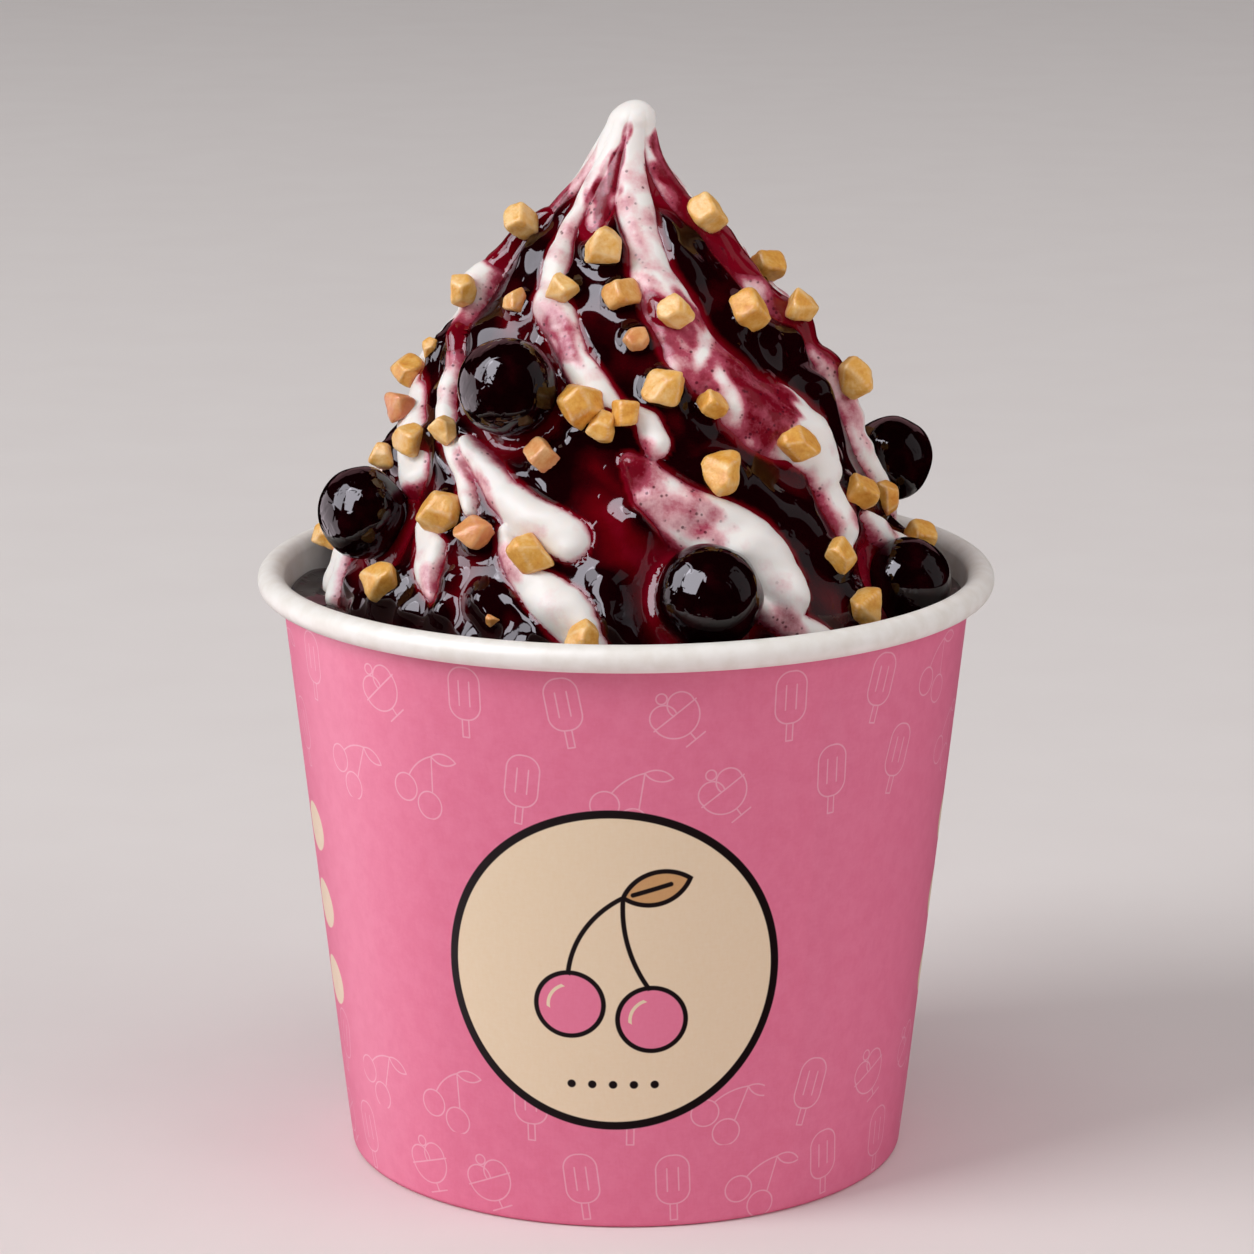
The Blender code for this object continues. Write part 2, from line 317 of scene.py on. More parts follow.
@dataclass(frozen=True)
class Finish:
    """How one stuff looks. Each kind says what feeds its Principled shader."""

    name: str

    def shade(self, sheet: NodeSheet) -> Inputs:
        """Values and signals of the Principled shader's inputs."""
        raise NotImplementedError

    def make(self) -> Material:
        """Build the material.

        Returns:
            The material, ready for a mesh.
        """
        material = bpy.data.materials.new(self.name)
        sheet = blank_sheet(material)
        surface = sheet.add("ShaderNodeBsdfPrincipled", None, self.shade(sheet))
        sheet.add("ShaderNodeOutputMaterial", None, {"Surface": surface})
        return material


# ---------------- finishes


class Pen:
    """Distances in millimetres from the strokes of a flat drawing, as node expressions."""

    FAR = 50

    def __init__(self, sheet: NodeSheet, across: Signal, up: Signal) -> None:
        """Draw on the plane that these two signals measure."""
        self.sheet, self.up, self.at = sheet, up, sheet.vector(across, up)

    def gap(self, start: Point) -> Signal:
        """Vector from a point."""
        return self.sheet.vector_math("SUBTRACT", self.at, (*start, 0))

    def length(self, vector: Signal) -> Signal:
        """Length of a vector."""
        return self.sheet.vector_math("LENGTH", vector, output="Value")

    def dot(self, start: Point, run: Point) -> Signal:
        """Product of the vector from a point with a fixed one."""
        return self.sheet.vector_math("DOT_PRODUCT", self.gap(start), (*run, 0), output="Value")

    def disc(self, centre: Point, radius: float) -> Signal:
        """Distance from a disc's edge, negative inside."""
        return self.length(self.gap(centre)) - radius

    def ring(self, centre: Point, radius: float) -> Signal:
        """Distance from a circle."""
        return abs(self.disc(centre, radius))

    @staticmethod
    def run(start: Point, end: Point) -> Point:
        """Way from one point to another."""
        return (end[0] - start[0], end[1] - start[1])

    def arc_centre(self, start: Point, end: Point, radius: float, side: float = 1) -> Point:
        """Centre of an arc between two points, on the right of its run, or on the left for side -1.

        Args:
            start: Where the arc starts.
            end: Where it ends.
            radius: Its radius.
            side: Side of its run that the centre lies on.

        Returns:
            The centre.
        """
        run = self.run(start, end)
        length = math.hypot(*run)
        back = side * math.sqrt(radius * radius - length * length / 4) / length
        return ((start[0] + end[0]) / 2 + run[1] * back, (start[1] + end[1]) / 2 - run[0] * back)

    def along(self, start: Point, end: Point) -> Signal:
        """Share of the way from start to end, kept from 0 to 1.

        Args:
            start: Where the stroke starts.
            end: Where it ends.

        Returns:
            The share of the stroke nearest to the shaded point.
        """
        run = self.run(start, end)
        values = {0: self.dot(start, run), 1: 1 / (run[0] ** 2 + run[1] ** 2)}
        return self.sheet.add("ShaderNodeMath", {"operation": "MULTIPLY", "use_clamp": True}, values)

    def stroke(self, start: Point, end: Point) -> Signal:
        """Distance from a straight stroke.

        Args:
            start: Where the stroke starts.
            end: Where it ends.

        Returns:
            The distance.
        """
        values = {0: (*self.run(start, end), 0), "Scale": self.along(start, end)}
        foot = self.sheet.add("ShaderNodeVectorMath", {"operation": "SCALE"}, values)
        return self.length(self.sheet.vector_math("SUBTRACT", self.gap(start), foot))

    def bow(self, start: Point, end: Point, radius: float) -> Signal:
        """Distance from a bowed stroke, an arc of this radius that swells to the left of its run.

        Args:
            start: Where the stroke starts.
            end: Where it ends.
            radius: Radius of its arc.

        Returns:
            The distance.
        """
        run = self.run(start, end)
        share = self.along(start, end)
        low = 1 - self.dot(start, (-run[1], run[0])).above(-0.5 * math.hypot(*run))
        outside = share.above(0.999) + (1 - share.above(0.001)) + low
        return self.ring(self.arc_centre(start, end, radius), radius) + outside * self.FAR

    def leaf(self, start: Point, end: Point, radius: float) -> Signal:
        """Distance from the edge of a pointed leaf between two points, negative inside."""
        left, right = (self.disc(self.arc_centre(start, end, radius, side), radius) for side in (-1, 1))
        return left.most(right)

    def slab(self, centre: Point, half: Point, corner: float) -> Signal:
        """Distance from the edge of a box with round corners, negative inside.

        Args:
            centre: Middle of the box.
            half: Half its width and height.
            corner: Radius of its corners.

        Returns:
            The distance.
        """
        size = self.sheet.vector_math("ABSOLUTE", self.gap(centre))
        over = self.sheet.vector_math("SUBTRACT", size, (half[0] - corner, half[1] - corner, 0))
        return self.length(self.sheet.vector_math("MAXIMUM", over, (0, 0, 0))) - corner


class Motif(Enum):
    """Line drawings of the tub's faint pattern."""

    CHERRIES = 0
    LOLLY = 1
    BOWL = 2

    def draw(self, pen: Pen) -> Signal:
        """Distance from this drawing's lines, about 8 mm tall and centred on the pen's origin."""
        drawings = {Motif.CHERRIES: self._cherries, Motif.LOLLY: self._lolly, Motif.BOWL: self._bowl}
        return drawings[self](pen)

    @staticmethod
    def nearest(lines: Sequence[Signal]) -> Signal:
        """Distance from the nearest of several lines.

        Args:
            lines: Distances from each line.

        Returns:
            The smallest of them.
        """
        first, *others = lines
        for line in others:
            first = first.least(line)
        return first

    def _cherries(self, pen: Pen) -> Signal:
        """Two cherries on one stalk with a leaf.

        Args:
            pen: Measures from the drawing's middle.

        Returns:
            The distance.
        """
        top = (0.5, 3)
        return self.nearest((
            pen.ring((-1.9, -2.2), 1.6),
            pen.ring((1.7, -2.7), 1.6),
            pen.bow((-1.8, -0.6), top, 6),
            pen.stroke((1.7, -1.1), top),
            abs(pen.leaf(top, (3.6, 3.7), 2.3)),
        ))

    def _lolly(self, pen: Pen) -> Signal:
        """A fruit ice on a stick.

        Args:
            pen: Measures from the drawing's middle.

        Returns:
            The distance.
        """
        return self.nearest((
            abs(pen.slab((0, 1), (1.9, 3), 1.7)),
            pen.stroke((-0.4, -2), (-0.4, -4)),
            pen.stroke((0.4, -2), (0.4, -4)),
            pen.stroke((-0.4, -4), (0.4, -4)),
            pen.stroke((-0.65, -0.4), (-0.65, 2.4)),
            pen.stroke((0.65, -0.4), (0.65, 2.4)),
        ))

    def _bowl(self, pen: Pen) -> Signal:
        """Two round scoops in a footed bowl.

        Args:
            pen: Measures from the drawing's middle.

        Returns:
            The distance.
        """
        below = (1 - pen.up.above(0)) * Pen.FAR
        return self.nearest((
            pen.ring((-1.2, 0.5), 1.5) + below,
            pen.ring((1.2, 0.5), 1.5) + below,
            pen.stroke((-2.9, 0), (2.9, 0)),
            pen.ring((0, 0), 2.7) + pen.up.above(0) * Pen.FAR,
            pen.stroke((0, -2.7), (0, -3.7)),
            pen.stroke((-1.3, -3.7), (1.3, -3.7)),
            pen.ring((0, 2.4), 0.6),
        ))


@dataclass(frozen=True)
class WallPlace:
    """Where a point of the tub's wall lies, as node expressions."""

    sheet: NodeSheet
    bearing: Signal
    radius: Signal
    z: Signal

    def across(self, bearing: float) -> Signal:
        """Distance round the wall from a bearing in degrees."""
        return (self.bearing - math.radians(bearing)) * self.radius


@dataclass(frozen=True)
class CardPrint(Finish):
    """Pink printed card: a faint pattern in two bands, a round badge and a few plain ovals."""

    pink: Colour = paint(234, 122, 157)
    deep_pink: Colour = paint(230, 114, 150)
    line: Colour = paint(246, 196, 214)
    ink: Colour = paint(26, 8, 10)
    sand: Colour = paint(236, 215, 184)
    biscuit: Colour = paint(206, 158, 104)
    oval: Colour = paint(236, 214, 188)
    foot_radius: float = 42
    widening: float = 9.6 / 88.1
    fibre_radius: float = 46.8
    fibre_size: float = 0.42
    fibre_shine: float = 0.16
    cells: int = 20
    row_pitch: float = 12.2
    first_row: float = 6.4
    foot_rows: int = 2
    rim_row: int = 5
    line_half: float = 0.1
    line_cover: float = 0.5
    motif_scale: float = 1.3
    motif_shift: Point = (3.4, 0.7)
    motif_tilt: float = 1.5
    badge_bearing: float = -2.4
    badge_height: float = 40.5
    badge_radius: float = 24.7
    badge_ring: float = 1.25
    badge_dots: int = 5
    fruit_places: Knots = ((-6.2, -5.2), (5.6, -7.4))
    fruit_radius: float = 4.9
    line_soft: float = 0.09
    badge_line_half: float = 0.36
    oval_bearings: tuple[float, ...] = (-75.5, 84)
    oval_heights: tuple[float, ...] = (52.3, 40.2, 28.1)
    oval_radius: float = 3.7
    oval_squeeze: float = 0.82

    def shade(self, sheet: NodeSheet) -> Inputs:
        """Layer the print on the card and give it its fine fibres.

        Args:
            sheet: The material's node tree.

        Returns:
            Values and signals of the shader's inputs.
        """
        at = sheet.place()
        x, y, z = sheet.split(at)
        wall = WallPlace(sheet, sheet.math("ARCTAN2", x, y * -1), z * self.widening + self.foot_radius, z)
        fibres = self._fibres(wall)
        clouds = sheet.noise(at, 2.6, 4, 0.62)
        colour = sheet.mix(clouds.rise(0.3, 0.7), self.pink, self.deep_pink)
        colour = sheet.mix(self._pattern(wall) * self.line_cover, colour, self.line)
        colour = self._badge(wall, self._ovals(wall, colour))
        values = {"Factor_Float": self.fibre_shine, "A_Color": colour, "B_Color": fibres}
        settings = {"data_type": "RGBA", "blend_type": "OVERLAY"}
        return {
            "Base Color": sheet.add("ShaderNodeMix", settings, values, "Result_Color"),
            "Roughness": 0.4 + fibres * 0.16,
            "Specular IOR Level": 0.6,
            "Normal": sheet.bump(fibres, 0.03, 0.55),
        }

    def _fibres(self, wall: WallPlace) -> Signal:
        """Fine crossed fibres of the card, from 0 to 1.

        Args:
            wall: Where the shaded point lies on the wall.

        Returns:
            The fibres' height.
        """
        sheet, arc = wall.sheet, wall.bearing * self.fibre_radius
        lying = sheet.noise(sheet.vector(arc * 0.35, wall.z), self.fibre_size, 3, 0.6)
        standing = sheet.noise(sheet.vector(arc, wall.z * 0.35, 7), self.fibre_size, 3, 0.6)
        return (lying + standing) * 0.5

    def _pattern(self, wall: WallPlace) -> Signal:
        """Cover of the faint line drawings, in two rows near the rim and two near the foot.

        Args:
            wall: Where the shaded point lies on the wall.

        Returns:
            The cover, from 0 to 1.
        """
        sheet = wall.sheet
        row = ((wall.z - self.first_row) / self.row_pitch + 0.5).floor()
        turn = wall.bearing * (self.cells / TAU) + row % 2 * 0.5
        cell = turn.floor()
        values = {"Vector": sheet.vector(cell % self.cells, row, 3)}
        chance = sheet.add("ShaderNodeTexWhiteNoise", {"noise_dimensions": "3D"}, values)
        shades = sheet.add("ShaderNodeSeparateColor", None, {"Color": chance.out("Color")})
        across = (turn - cell - 0.5) * wall.radius * (TAU / self.cells)
        across = across + (shades.out("Green") - 0.5) * self.motif_shift[0]
        up = wall.z - self.first_row - row * self.row_pitch + (shades.out("Blue") - 0.5) * self.motif_shift[1]
        angle = (shades.out("Red") - 0.5) * self.motif_tilt
        cosine, sine = angle.cosine(), angle.sine()
        small = 1 / self.motif_scale
        pen = Pen(sheet, (across * cosine + up * sine) * small, (up * cosine - across * sine) * small)
        pick = (chance.out("Value") * (len(Motif) - 0.001)).floor()
        lines = [motif.draw(pen) + abs(pick - float(motif.value)).above(0.5) * Pen.FAR for motif in Motif]
        cover = Motif.nearest(lines).fall(self.line_half * 0.5 * small, self.line_half * 1.6 * small)
        return cover * (1 - row.above(self.foot_rows - 0.5) * (1 - row.above(self.rim_row - 0.5)))

    def _ovals(self, wall: WallPlace, colour: Signal) -> Signal:
        """Lay a column of plain ovals on each side.

        Args:
            wall: Where the shaded point lies on the wall.
            colour: What is printed so far.

        Returns:
            The colour with the ovals on it.
        """
        for place in self.oval_bearings:
            pen = Pen(wall.sheet, wall.across(place) * self.oval_squeeze, wall.z)
            for height in self.oval_heights:
                cover = pen.disc((0, height), self.oval_radius).fall(-0.12, 0.12)
                colour = wall.sheet.mix(cover, colour, self.oval)
        return colour

    def _badge(self, wall: WallPlace, colour: Signal) -> Signal:
        """Lay the round badge with its pair of cherries, a leaf and a row of dots.

        Args:
            wall: Where the shaded point lies on the wall.
            colour: What is printed so far.

        Returns:
            The colour with the badge on it.
        """
        mix = wall.sheet.mix
        pen = Pen(wall.sheet, wall.across(self.badge_bearing), wall.z - self.badge_height)
        soft, half = self.line_soft, self.badge_line_half
        rim = pen.disc((0, 0), self.badge_radius)
        colour = mix(rim.fall(-soft, soft), colour, self.ink)
        colour = mix((rim + self.badge_ring).fall(-soft, soft), colour, self.sand)
        top = (1.6, 11.4)
        leaf = pen.leaf(top, (11.2, 14.2), 6.4)
        colour = mix(leaf.fall(-soft, soft), colour, self.biscuit)
        lines = [
            abs(leaf), pen.stroke((3, 11.8), (8.4, 13.4)),
            pen.bow((-6.4, -0.6), top, 15), pen.bow((5.4, -2.9), top, 22),
        ]
        for x, y in self.fruit_places:
            fruit = pen.disc((x, y), self.fruit_radius)
            colour = mix(fruit.fall(-soft, soft), colour, self.pink)
            lines.append(abs(fruit))
            shine = pen.bow((x - 3.1, y - 0.6), (x - 0.9, y + 2.9), 3.2)
            colour = mix(shine.fall(0.2, 0.2 + soft), colour, self.sand)
        colour = mix(Motif.nearest(lines).fall(half - soft, half + soft), colour, self.ink)
        for step in range(self.badge_dots):
            dot = pen.disc((3 * (step - self.badge_dots // 2), -17.6), 0.62)
            colour = mix(dot.fall(-soft, soft), colour, self.ink)
        return colour


@dataclass(frozen=True)
class PlainCard(Finish):
    """White uncoated card of the rim, the inside and the base."""

    white: Colour = paint(244, 242, 238)
    shade_white: Colour = paint(234, 230, 223)

    def shade(self, sheet: NodeSheet) -> Inputs:
        """Slightly cloudy white with a fibrous surface.

        Args:
            sheet: The material's node tree.

        Returns:
            Values and signals of the shader's inputs.
        """
        at = sheet.place()
        clouds = sheet.noise(at, 3, 3)
        fibres = sheet.noise(at, 0.35, 3, 0.6)
        return {
            "Base Color": sheet.mix(clouds.rise(0.3, 0.75), self.white, self.shade_white),
            "Roughness": 0.4 + fibres * 0.15,
            "Specular IOR Level": 0.6,
            "Normal": sheet.bump(fibres, 0.02, 0.5),
        }


@dataclass(frozen=True)
class CreamFinish(Finish):
    """Soft serve: white, stained pink and red where sauce has run over it."""

    white: Colour = paint(243, 240, 237)
    blush: Colour = paint(228, 183, 188)
    rose: Colour = paint(180, 80, 102)
    wine: Colour = paint(122, 8, 30)
    fleck: Colour = paint(76, 6, 26)

    def shade(self, sheet: NodeSheet) -> Inputs:
        """Colour by stain, with cloudy edges, dark flecks and a fine icy grain.

        Args:
            sheet: The material's node tree.

        Returns:
            Values and signals of the shader's inputs.
        """
        at = sheet.place()
        stain = sheet.attribute("stain")
        cloud = sheet.noise(at, 1.7, 4, 0.6)
        fine = sheet.noise(at, 0.5, 3, 0.6)
        patchy = stain + (cloud - 0.5) * stain.rise(0.02, 0.4) * 0.5 + (fine - 0.5) * stain * 0.4
        colour = sheet.ramp(
            patchy, (0.14, self.white), (0.36, self.blush), (0.62, self.rose), (0.92, self.wine)
        )
        spots = sheet.specks(at, 1.05)
        rare = sheet.noise(at, 2.1, 1)
        flecks = spots.fall(0.15, 0.3) * rare.rise(0.42, 0.52) * stain.rise(0.16, 0.4)
        grain = sheet.noise(at, 0.6, 4, 0.65)
        return {
            "Base Color": sheet.mix(flecks * 0.8, colour, self.fleck),
            "Roughness": 0.44 - stain.rise(0.1, 0.6) * 0.28 + fine * 0.08,
            "IOR": 1.38,
            "Subsurface Weight": 0.3,
            "Subsurface Radius": (1, 0.75, 0.62),
            "Subsurface Scale": 1.3 * MM,
            "Normal": sheet.bump(grain, 0.05, 0.35),
        }


@dataclass(frozen=True)
class SauceFinish(Finish):
    """Cherry sauce: nearly black where it is deep, bright red where it is thin, and glossy."""

    film: Colour = paint(124, 7, 28)
    thin: Colour = paint(98, 2, 12)
    middle: Colour = paint(60, 1, 7)
    deep: Colour = paint(22, 1, 3)
    darkest: float = 2.8

    def shade(self, sheet: NodeSheet) -> Inputs:
        """Colour by depth, and a gloss over slow ripples.

        Args:
            sheet: The material's node tree.

        Returns:
            Values and signals of the shader's inputs.
        """
        at = sheet.place()
        depth = sheet.attribute("depth")
        cloud = sheet.noise(at, 2.4, 3, 0.55)
        seen = (depth + (cloud - 0.5) * 0.9) / self.darkest
        stops = ((0, self.film), (0.2, self.thin), (0.5, self.middle), (0.8, self.deep))
        bits = sheet.noise(at, 1.6, 0)
        relief = sheet.bump(bits.rise(0.66, 0.8), 0.12, 0.3)
        return {
            "Base Color": sheet.ramp(seen, *stops),
            "Roughness": 0.045 + cloud.rise(0.5, 0.8) * 0.05,
            "IOR": 1.45,
            "Normal": relief,
        }


@dataclass(frozen=True)
class CherryFinish(Finish):
    """Dark cherry under a coat of its own syrup."""

    skin: Colour = paint(13, 1, 2)
    warm: Colour = paint(34, 2, 6)

    def shade(self, sheet: NodeSheet) -> Inputs:
        """Nearly black skin with a few warmer clouds, and syrup that has run unevenly.

        Args:
            sheet: The material's node tree.

        Returns:
            Values and signals of the shader's inputs.
        """
        at = sheet.place()
        cloud = sheet.noise(at, 3.4, 3, 0.55)
        runs = sheet.noise(at, 3, 1, 0.5, 0.6)
        drops = sheet.noise(at, 1.2, 1)
        relief = sheet.bump(runs.rise(0.52, 0.66), 0.09, 0.4)
        relief = sheet.bump(drops.rise(0.62, 0.72), 0.05, 0.3, Normal=relief)
        return {
            "Base Color": sheet.mix(cloud.rise(0.45, 0.8), self.skin, self.warm),
            "Roughness": 0.03 + cloud.rise(0.55, 0.8) * 0.03,
            "IOR": 1.48,
            "Normal": relief,
        }


@dataclass(frozen=True)
class NutFinish(Finish):
    """Roasted chopped nut: golden and waxy, with a painted highlight along its edges, and pink next to the
    sauce.
    """

    pale: Colour = paint(243, 203, 138)
    gold: Colour = paint(231, 172, 78)
    toast: Colour = paint(208, 127, 28)
    # Colour of the painted highlight along the nut's edges.
    edge_highlight: Colour = paint(250, 224, 182)
    stained: Colour = paint(206, 108, 96)

    def shade(self, sheet: NodeSheet) -> Inputs:
        """Colour by the nut's own roast, by cloudy grain, by a painted highlight along the edges, and by how
        near the sauce is.

        Args:
            sheet: The material's node tree.

        Returns:
            Values and signals of the shader's inputs.
        """
        at = sheet.place()
        roast = sheet.attribute("roast")
        stain = sheet.attribute("stain")
        edge = sheet.attribute("edge")
        cloud = sheet.noise(at, 2, 3, 0.6)
        grain = sheet.noise(at, 0.5, 3, 0.6)
        seen = roast * 0.9 + cloud * 1.1 + grain * 0.3 - 0.7
        colour = sheet.ramp(seen, (0.08, self.pale), (0.45, self.gold), (0.9, self.toast))
        # Painted highlight: the edges are mixed towards a pale colour, broken up by the grain.
        colour = sheet.mix(edge * grain.rise(0.25, 0.7) * 0.6, colour, self.edge_highlight)
        wet = (stain + (cloud - 0.5) * stain * 0.9).rise(0.1, 1)
        return {
            "Base Color": sheet.mix(wet * 0.72, colour, self.stained),
            "Roughness": 0.3 + grain * 0.2 - stain * 0.1,
            "IOR": 1.46,
            "Subsurface Weight": 0.1,
            "Subsurface Radius": (1, 0.5, 0.25),
            "Subsurface Scale": 0.6 * MM,
            "Normal": sheet.bump(grain * 0.4 + cloud * 0.6, 0.2, 0.6),
        }


@dataclass(frozen=True)
class FloorFinish(Finish):
    """Plain pale matt floor."""

    pale: Colour = paint(228, 222, 221)
    paler: Colour = paint(232, 227, 226)

    def shade(self, sheet: NodeSheet) -> Inputs:
        """Nearly even, with very slight clouds.

        Args:
            sheet: The material's node tree.

        Returns:
            Values and signals of the shader's inputs.
        """
        at = sheet.place()
        clouds = sheet.noise(at, 30, 2)
        return {
            "Base Color": sheet.mix(clouds, self.pale, self.paler),
            "Roughness": 0.9,
            "Specular IOR Level": 0,
        }


# ---------------- shapes in numbers


def curve_through(knots: Sequence[Point], where: Array) -> Array:
    """Smooth curve through (place, value) knots, which runs on straight past both ends.

    Args:
        knots: Places in rising order with their values.
        where: Places at which the curve is wanted.

    Returns:
        The curve's values there.
    """
    x, y = np.array(knots, float).T
    ends = np.diff(y) / np.diff(x)
    slope = np.concatenate((ends[:1], (y[2:] - y[:-2]) / (x[2:] - x[:-2]), ends[-1:]))
    span = np.clip(np.searchsorted(x, where) - 1, 0, len(x) - 2)
    width = x[span + 1] - x[span]
    t = np.clip((where - x[span]) / width, 0, 1)
    inside = (
        (2 * t**3 - 3 * t**2 + 1) * y[span]
        + (t**3 - 2 * t**2 + t) * slope[span] * width
        + (3 * t**2 - 2 * t**3) * y[span + 1]
        + (t**3 - t**2) * slope[span + 1] * width
    )
    past = np.minimum(where - x[0], 0) * slope[0] + np.maximum(where - x[-1], 0) * slope[-1]
    return inside + past


def smooth_step(values: Array, low: float, high: float) -> Array:
    """Smooth step from 0 at low to 1 at high."""
    t = np.clip((values - low) / (high - low), 0, 1)
    return t * t * (3 - 2 * t)


def wrapped(angle: Array) -> Array:
    """Angle in radians brought between minus and plus a half turn."""
    return (angle + math.pi) % TAU - math.pi


def waves(points: Array, length: float, seed: int, count: int = 10) -> Array:
    """Smooth uneven relief, mostly between -1 and 1.

    Args:
        points: Places in millimetres, with three numbers each.
        length: Typical length of the waves.
        seed: Picks the waves' directions.
        count: How many waves are added up.

    Returns:
        One value for each place.
    """
    random = np.random.default_rng(seed)
    total = np.zeros(points.shape[:-1])
    for _ in range(count):
        direction = random.normal(size=3)
        direction *= TAU / (np.linalg.norm(direction) * length * random.uniform(0.7, 1.6))
        total += np.sin(points @ direction + random.uniform(0, TAU))
    return total / math.sqrt(count)


def softened(values: Array) -> Array:
    """Blur over the neighbouring rows and columns, of which the columns run round.

    Args:
        values: One value for each row and column.

    Returns:
        The blurred values.
    """
    values = 0.5 * values + 0.25 * (np.roll(values, 1, axis=1) + np.roll(values, -1, axis=1))
    padded = np.pad(values, ((1, 1), (0, 0)), mode="edge")
    return 0.5 * values + 0.25 * (padded[:-2] + padded[2:])


@dataclass
class SurfaceGrid:
    """Rows and columns of places on the floor line, from the tip down and all the way round."""

    along: Array
    label: Array
    radius: Array
    height: Array
    out_radius: Array
    out_height: Array
    depth: Array
    reach: Array
    lean: Array
    bearing: Array

    @property
    def shape(self) -> tuple[int, int]:
        """Numbers of rows and columns."""
        return len(self.along), len(self.bearing)

    def lift(self, rise: Array) -> Array:
        """Points at a rise above the floor line.

        Args:
            rise: Rise in millimetres, for every row and column.

        Returns:
            Places in millimetres, for every row and column.
        """
        radius = self.radius[:, None] + self.out_radius[:, None] * rise
        height = self.height[:, None] + self.out_height[:, None] * rise
        x = radius * np.sin(self.bearing) + self.lean[:, None]
        return np.stack((x, -radius * np.cos(self.bearing), np.broadcast_to(height, x.shape)), axis=-1)

    def offset(self, height: float, bearing: float) -> tuple[Array, Array]:
        """How far every place lies to the right of and below a named one, in millimetres.

        Args:
            height: Height of the named place.
            bearing: Its bearing.

        Returns:
            The two distances, for every row and column.
        """
        right = wrapped(self.bearing - math.radians(bearing))[None, :] * self.reach[:, None]
        start = np.interp(-height, -self.label, self.along)
        down = np.broadcast_to((self.along - start)[:, None], right.shape)
        return right, down


@dataclass
class SwirlForm:
    """The body that the swirl's reliefs stand on.

    The outline runs along the folds' crests. The floor line lies one fold's depth inside it,
    rounds outwards at the foot, and ends as a flat shelf under the sauce pool.
    """

    crest: Knots = (
        (79, 46), (90, 44.6), (99, 40.4), (107, 36.6), (115, 33.2), (123, 28.9),
        (131, 22.9), (138.5, 16.4), (145.5, 9.7), (151, 5.5), (155.5, 3.7),
    )
    tip_height: float = 159.1
    tip_radius: float = 3.7
    depth: Knots = (
        (84, 3.6), (130, 3.6), (140, 3), (145, 2), (150, 1.1), (155, 0.5), (159.1, 0),
    )
    lean: Knots = (
        (130, 0), (142, 0), (150, -0.1), (155, 0.6), (159.1, 1.4),
    )
    shelf_height: float = 81.5
    foot_round: float = 5
    shelf_end: float = 50.5
    step: float = 0.1
    tip_steps: int = 60
    line: dict[str, Array] = field(init=False)
    foot_label: float = field(init=False)

    def __post_init__(self) -> None:
        """Work out the floor line in fine steps."""
        turn = np.linspace(0.5 * math.pi, 0, self.tip_steps, endpoint=False)
        low = self.crest[-1][0]
        down = np.arange(low, self.shelf_height + self.foot_round, -self.step)
        height = np.concatenate((low + (self.tip_height - low) * np.sin(turn), down))
        radius = np.concatenate((self.tip_radius * np.cos(turn), curve_through(self.crest, down)))
        run = np.hypot(np.gradient(radius), np.gradient(height))
        out_radius, out_height = -np.gradient(height) / run, np.gradient(radius) / run
        depth = np.maximum(curve_through(self.depth, height), 0)
        wall = (radius - depth * out_radius, height - depth * out_height, out_radius, out_height)
        bend = np.arange(0, 1, self.step / (0.5 * math.pi * self.foot_round)) * 0.5 * math.pi
        sine, cosine = np.sin(bend), np.cos(bend)
        middle, top = wall[0][-1] + self.foot_round, wall[1][-1]
        foot = (middle - self.foot_round * cosine, top - self.foot_round * sine, cosine, sine)
        shelf = np.arange(middle, self.shelf_end, self.step)
        flat = np.ones_like(shelf)
        shelf_line = (shelf, flat * (top - self.foot_round), 0 * flat, flat)
        names = ("radius", "height", "out_radius", "out_height")
        self.line = {name: np.concatenate(parts) for name, *parts in zip(names, wall, foot, shelf_line)}
        rest = len(bend) + len(shelf)
        steps = [np.diff(self.line[name], prepend=self.line[name][0]) for name in ("radius", "height")]
        along = np.cumsum(np.hypot(*steps))
        self.foot_label = float(height[-1])
        label = np.concatenate((height, height[-1] - (along[-rest:] - along[-rest - 1])))
        lean = np.concatenate((curve_through(self.lean, height), np.zeros(rest)))
        self.line |= {
            "along": along,
            "label": label,
            "depth": np.concatenate((depth, np.full(rest, depth[-1]))),
            "reach": np.concatenate((radius, np.maximum(self.line["radius"][-rest:], radius[-1]))),
            "lean": lean * smooth_step(label, 128, 140),
        }

    def grid(self, rows: int, columns: int) -> SurfaceGrid:
        """Spread rows evenly along the floor line, and columns round the axis.

        Args:
            rows: Number of rows.
            columns: Number of columns.

        Returns:
            The grid, from just below the tip to the end of the shelf.
        """
        total = self.line["along"][-1]
        along = np.linspace(0.2, total, rows)
        picked = {name: np.interp(along, self.line["along"], values) for name, values in self.line.items()}
        picked["along"] = along
        size = np.hypot(picked["out_radius"], picked["out_height"])
        picked["out_radius"] /= size
        picked["out_height"] /= size
        return SurfaceGrid(**picked, bearing=np.linspace(0, TAU, columns, endpoint=False) - math.pi)


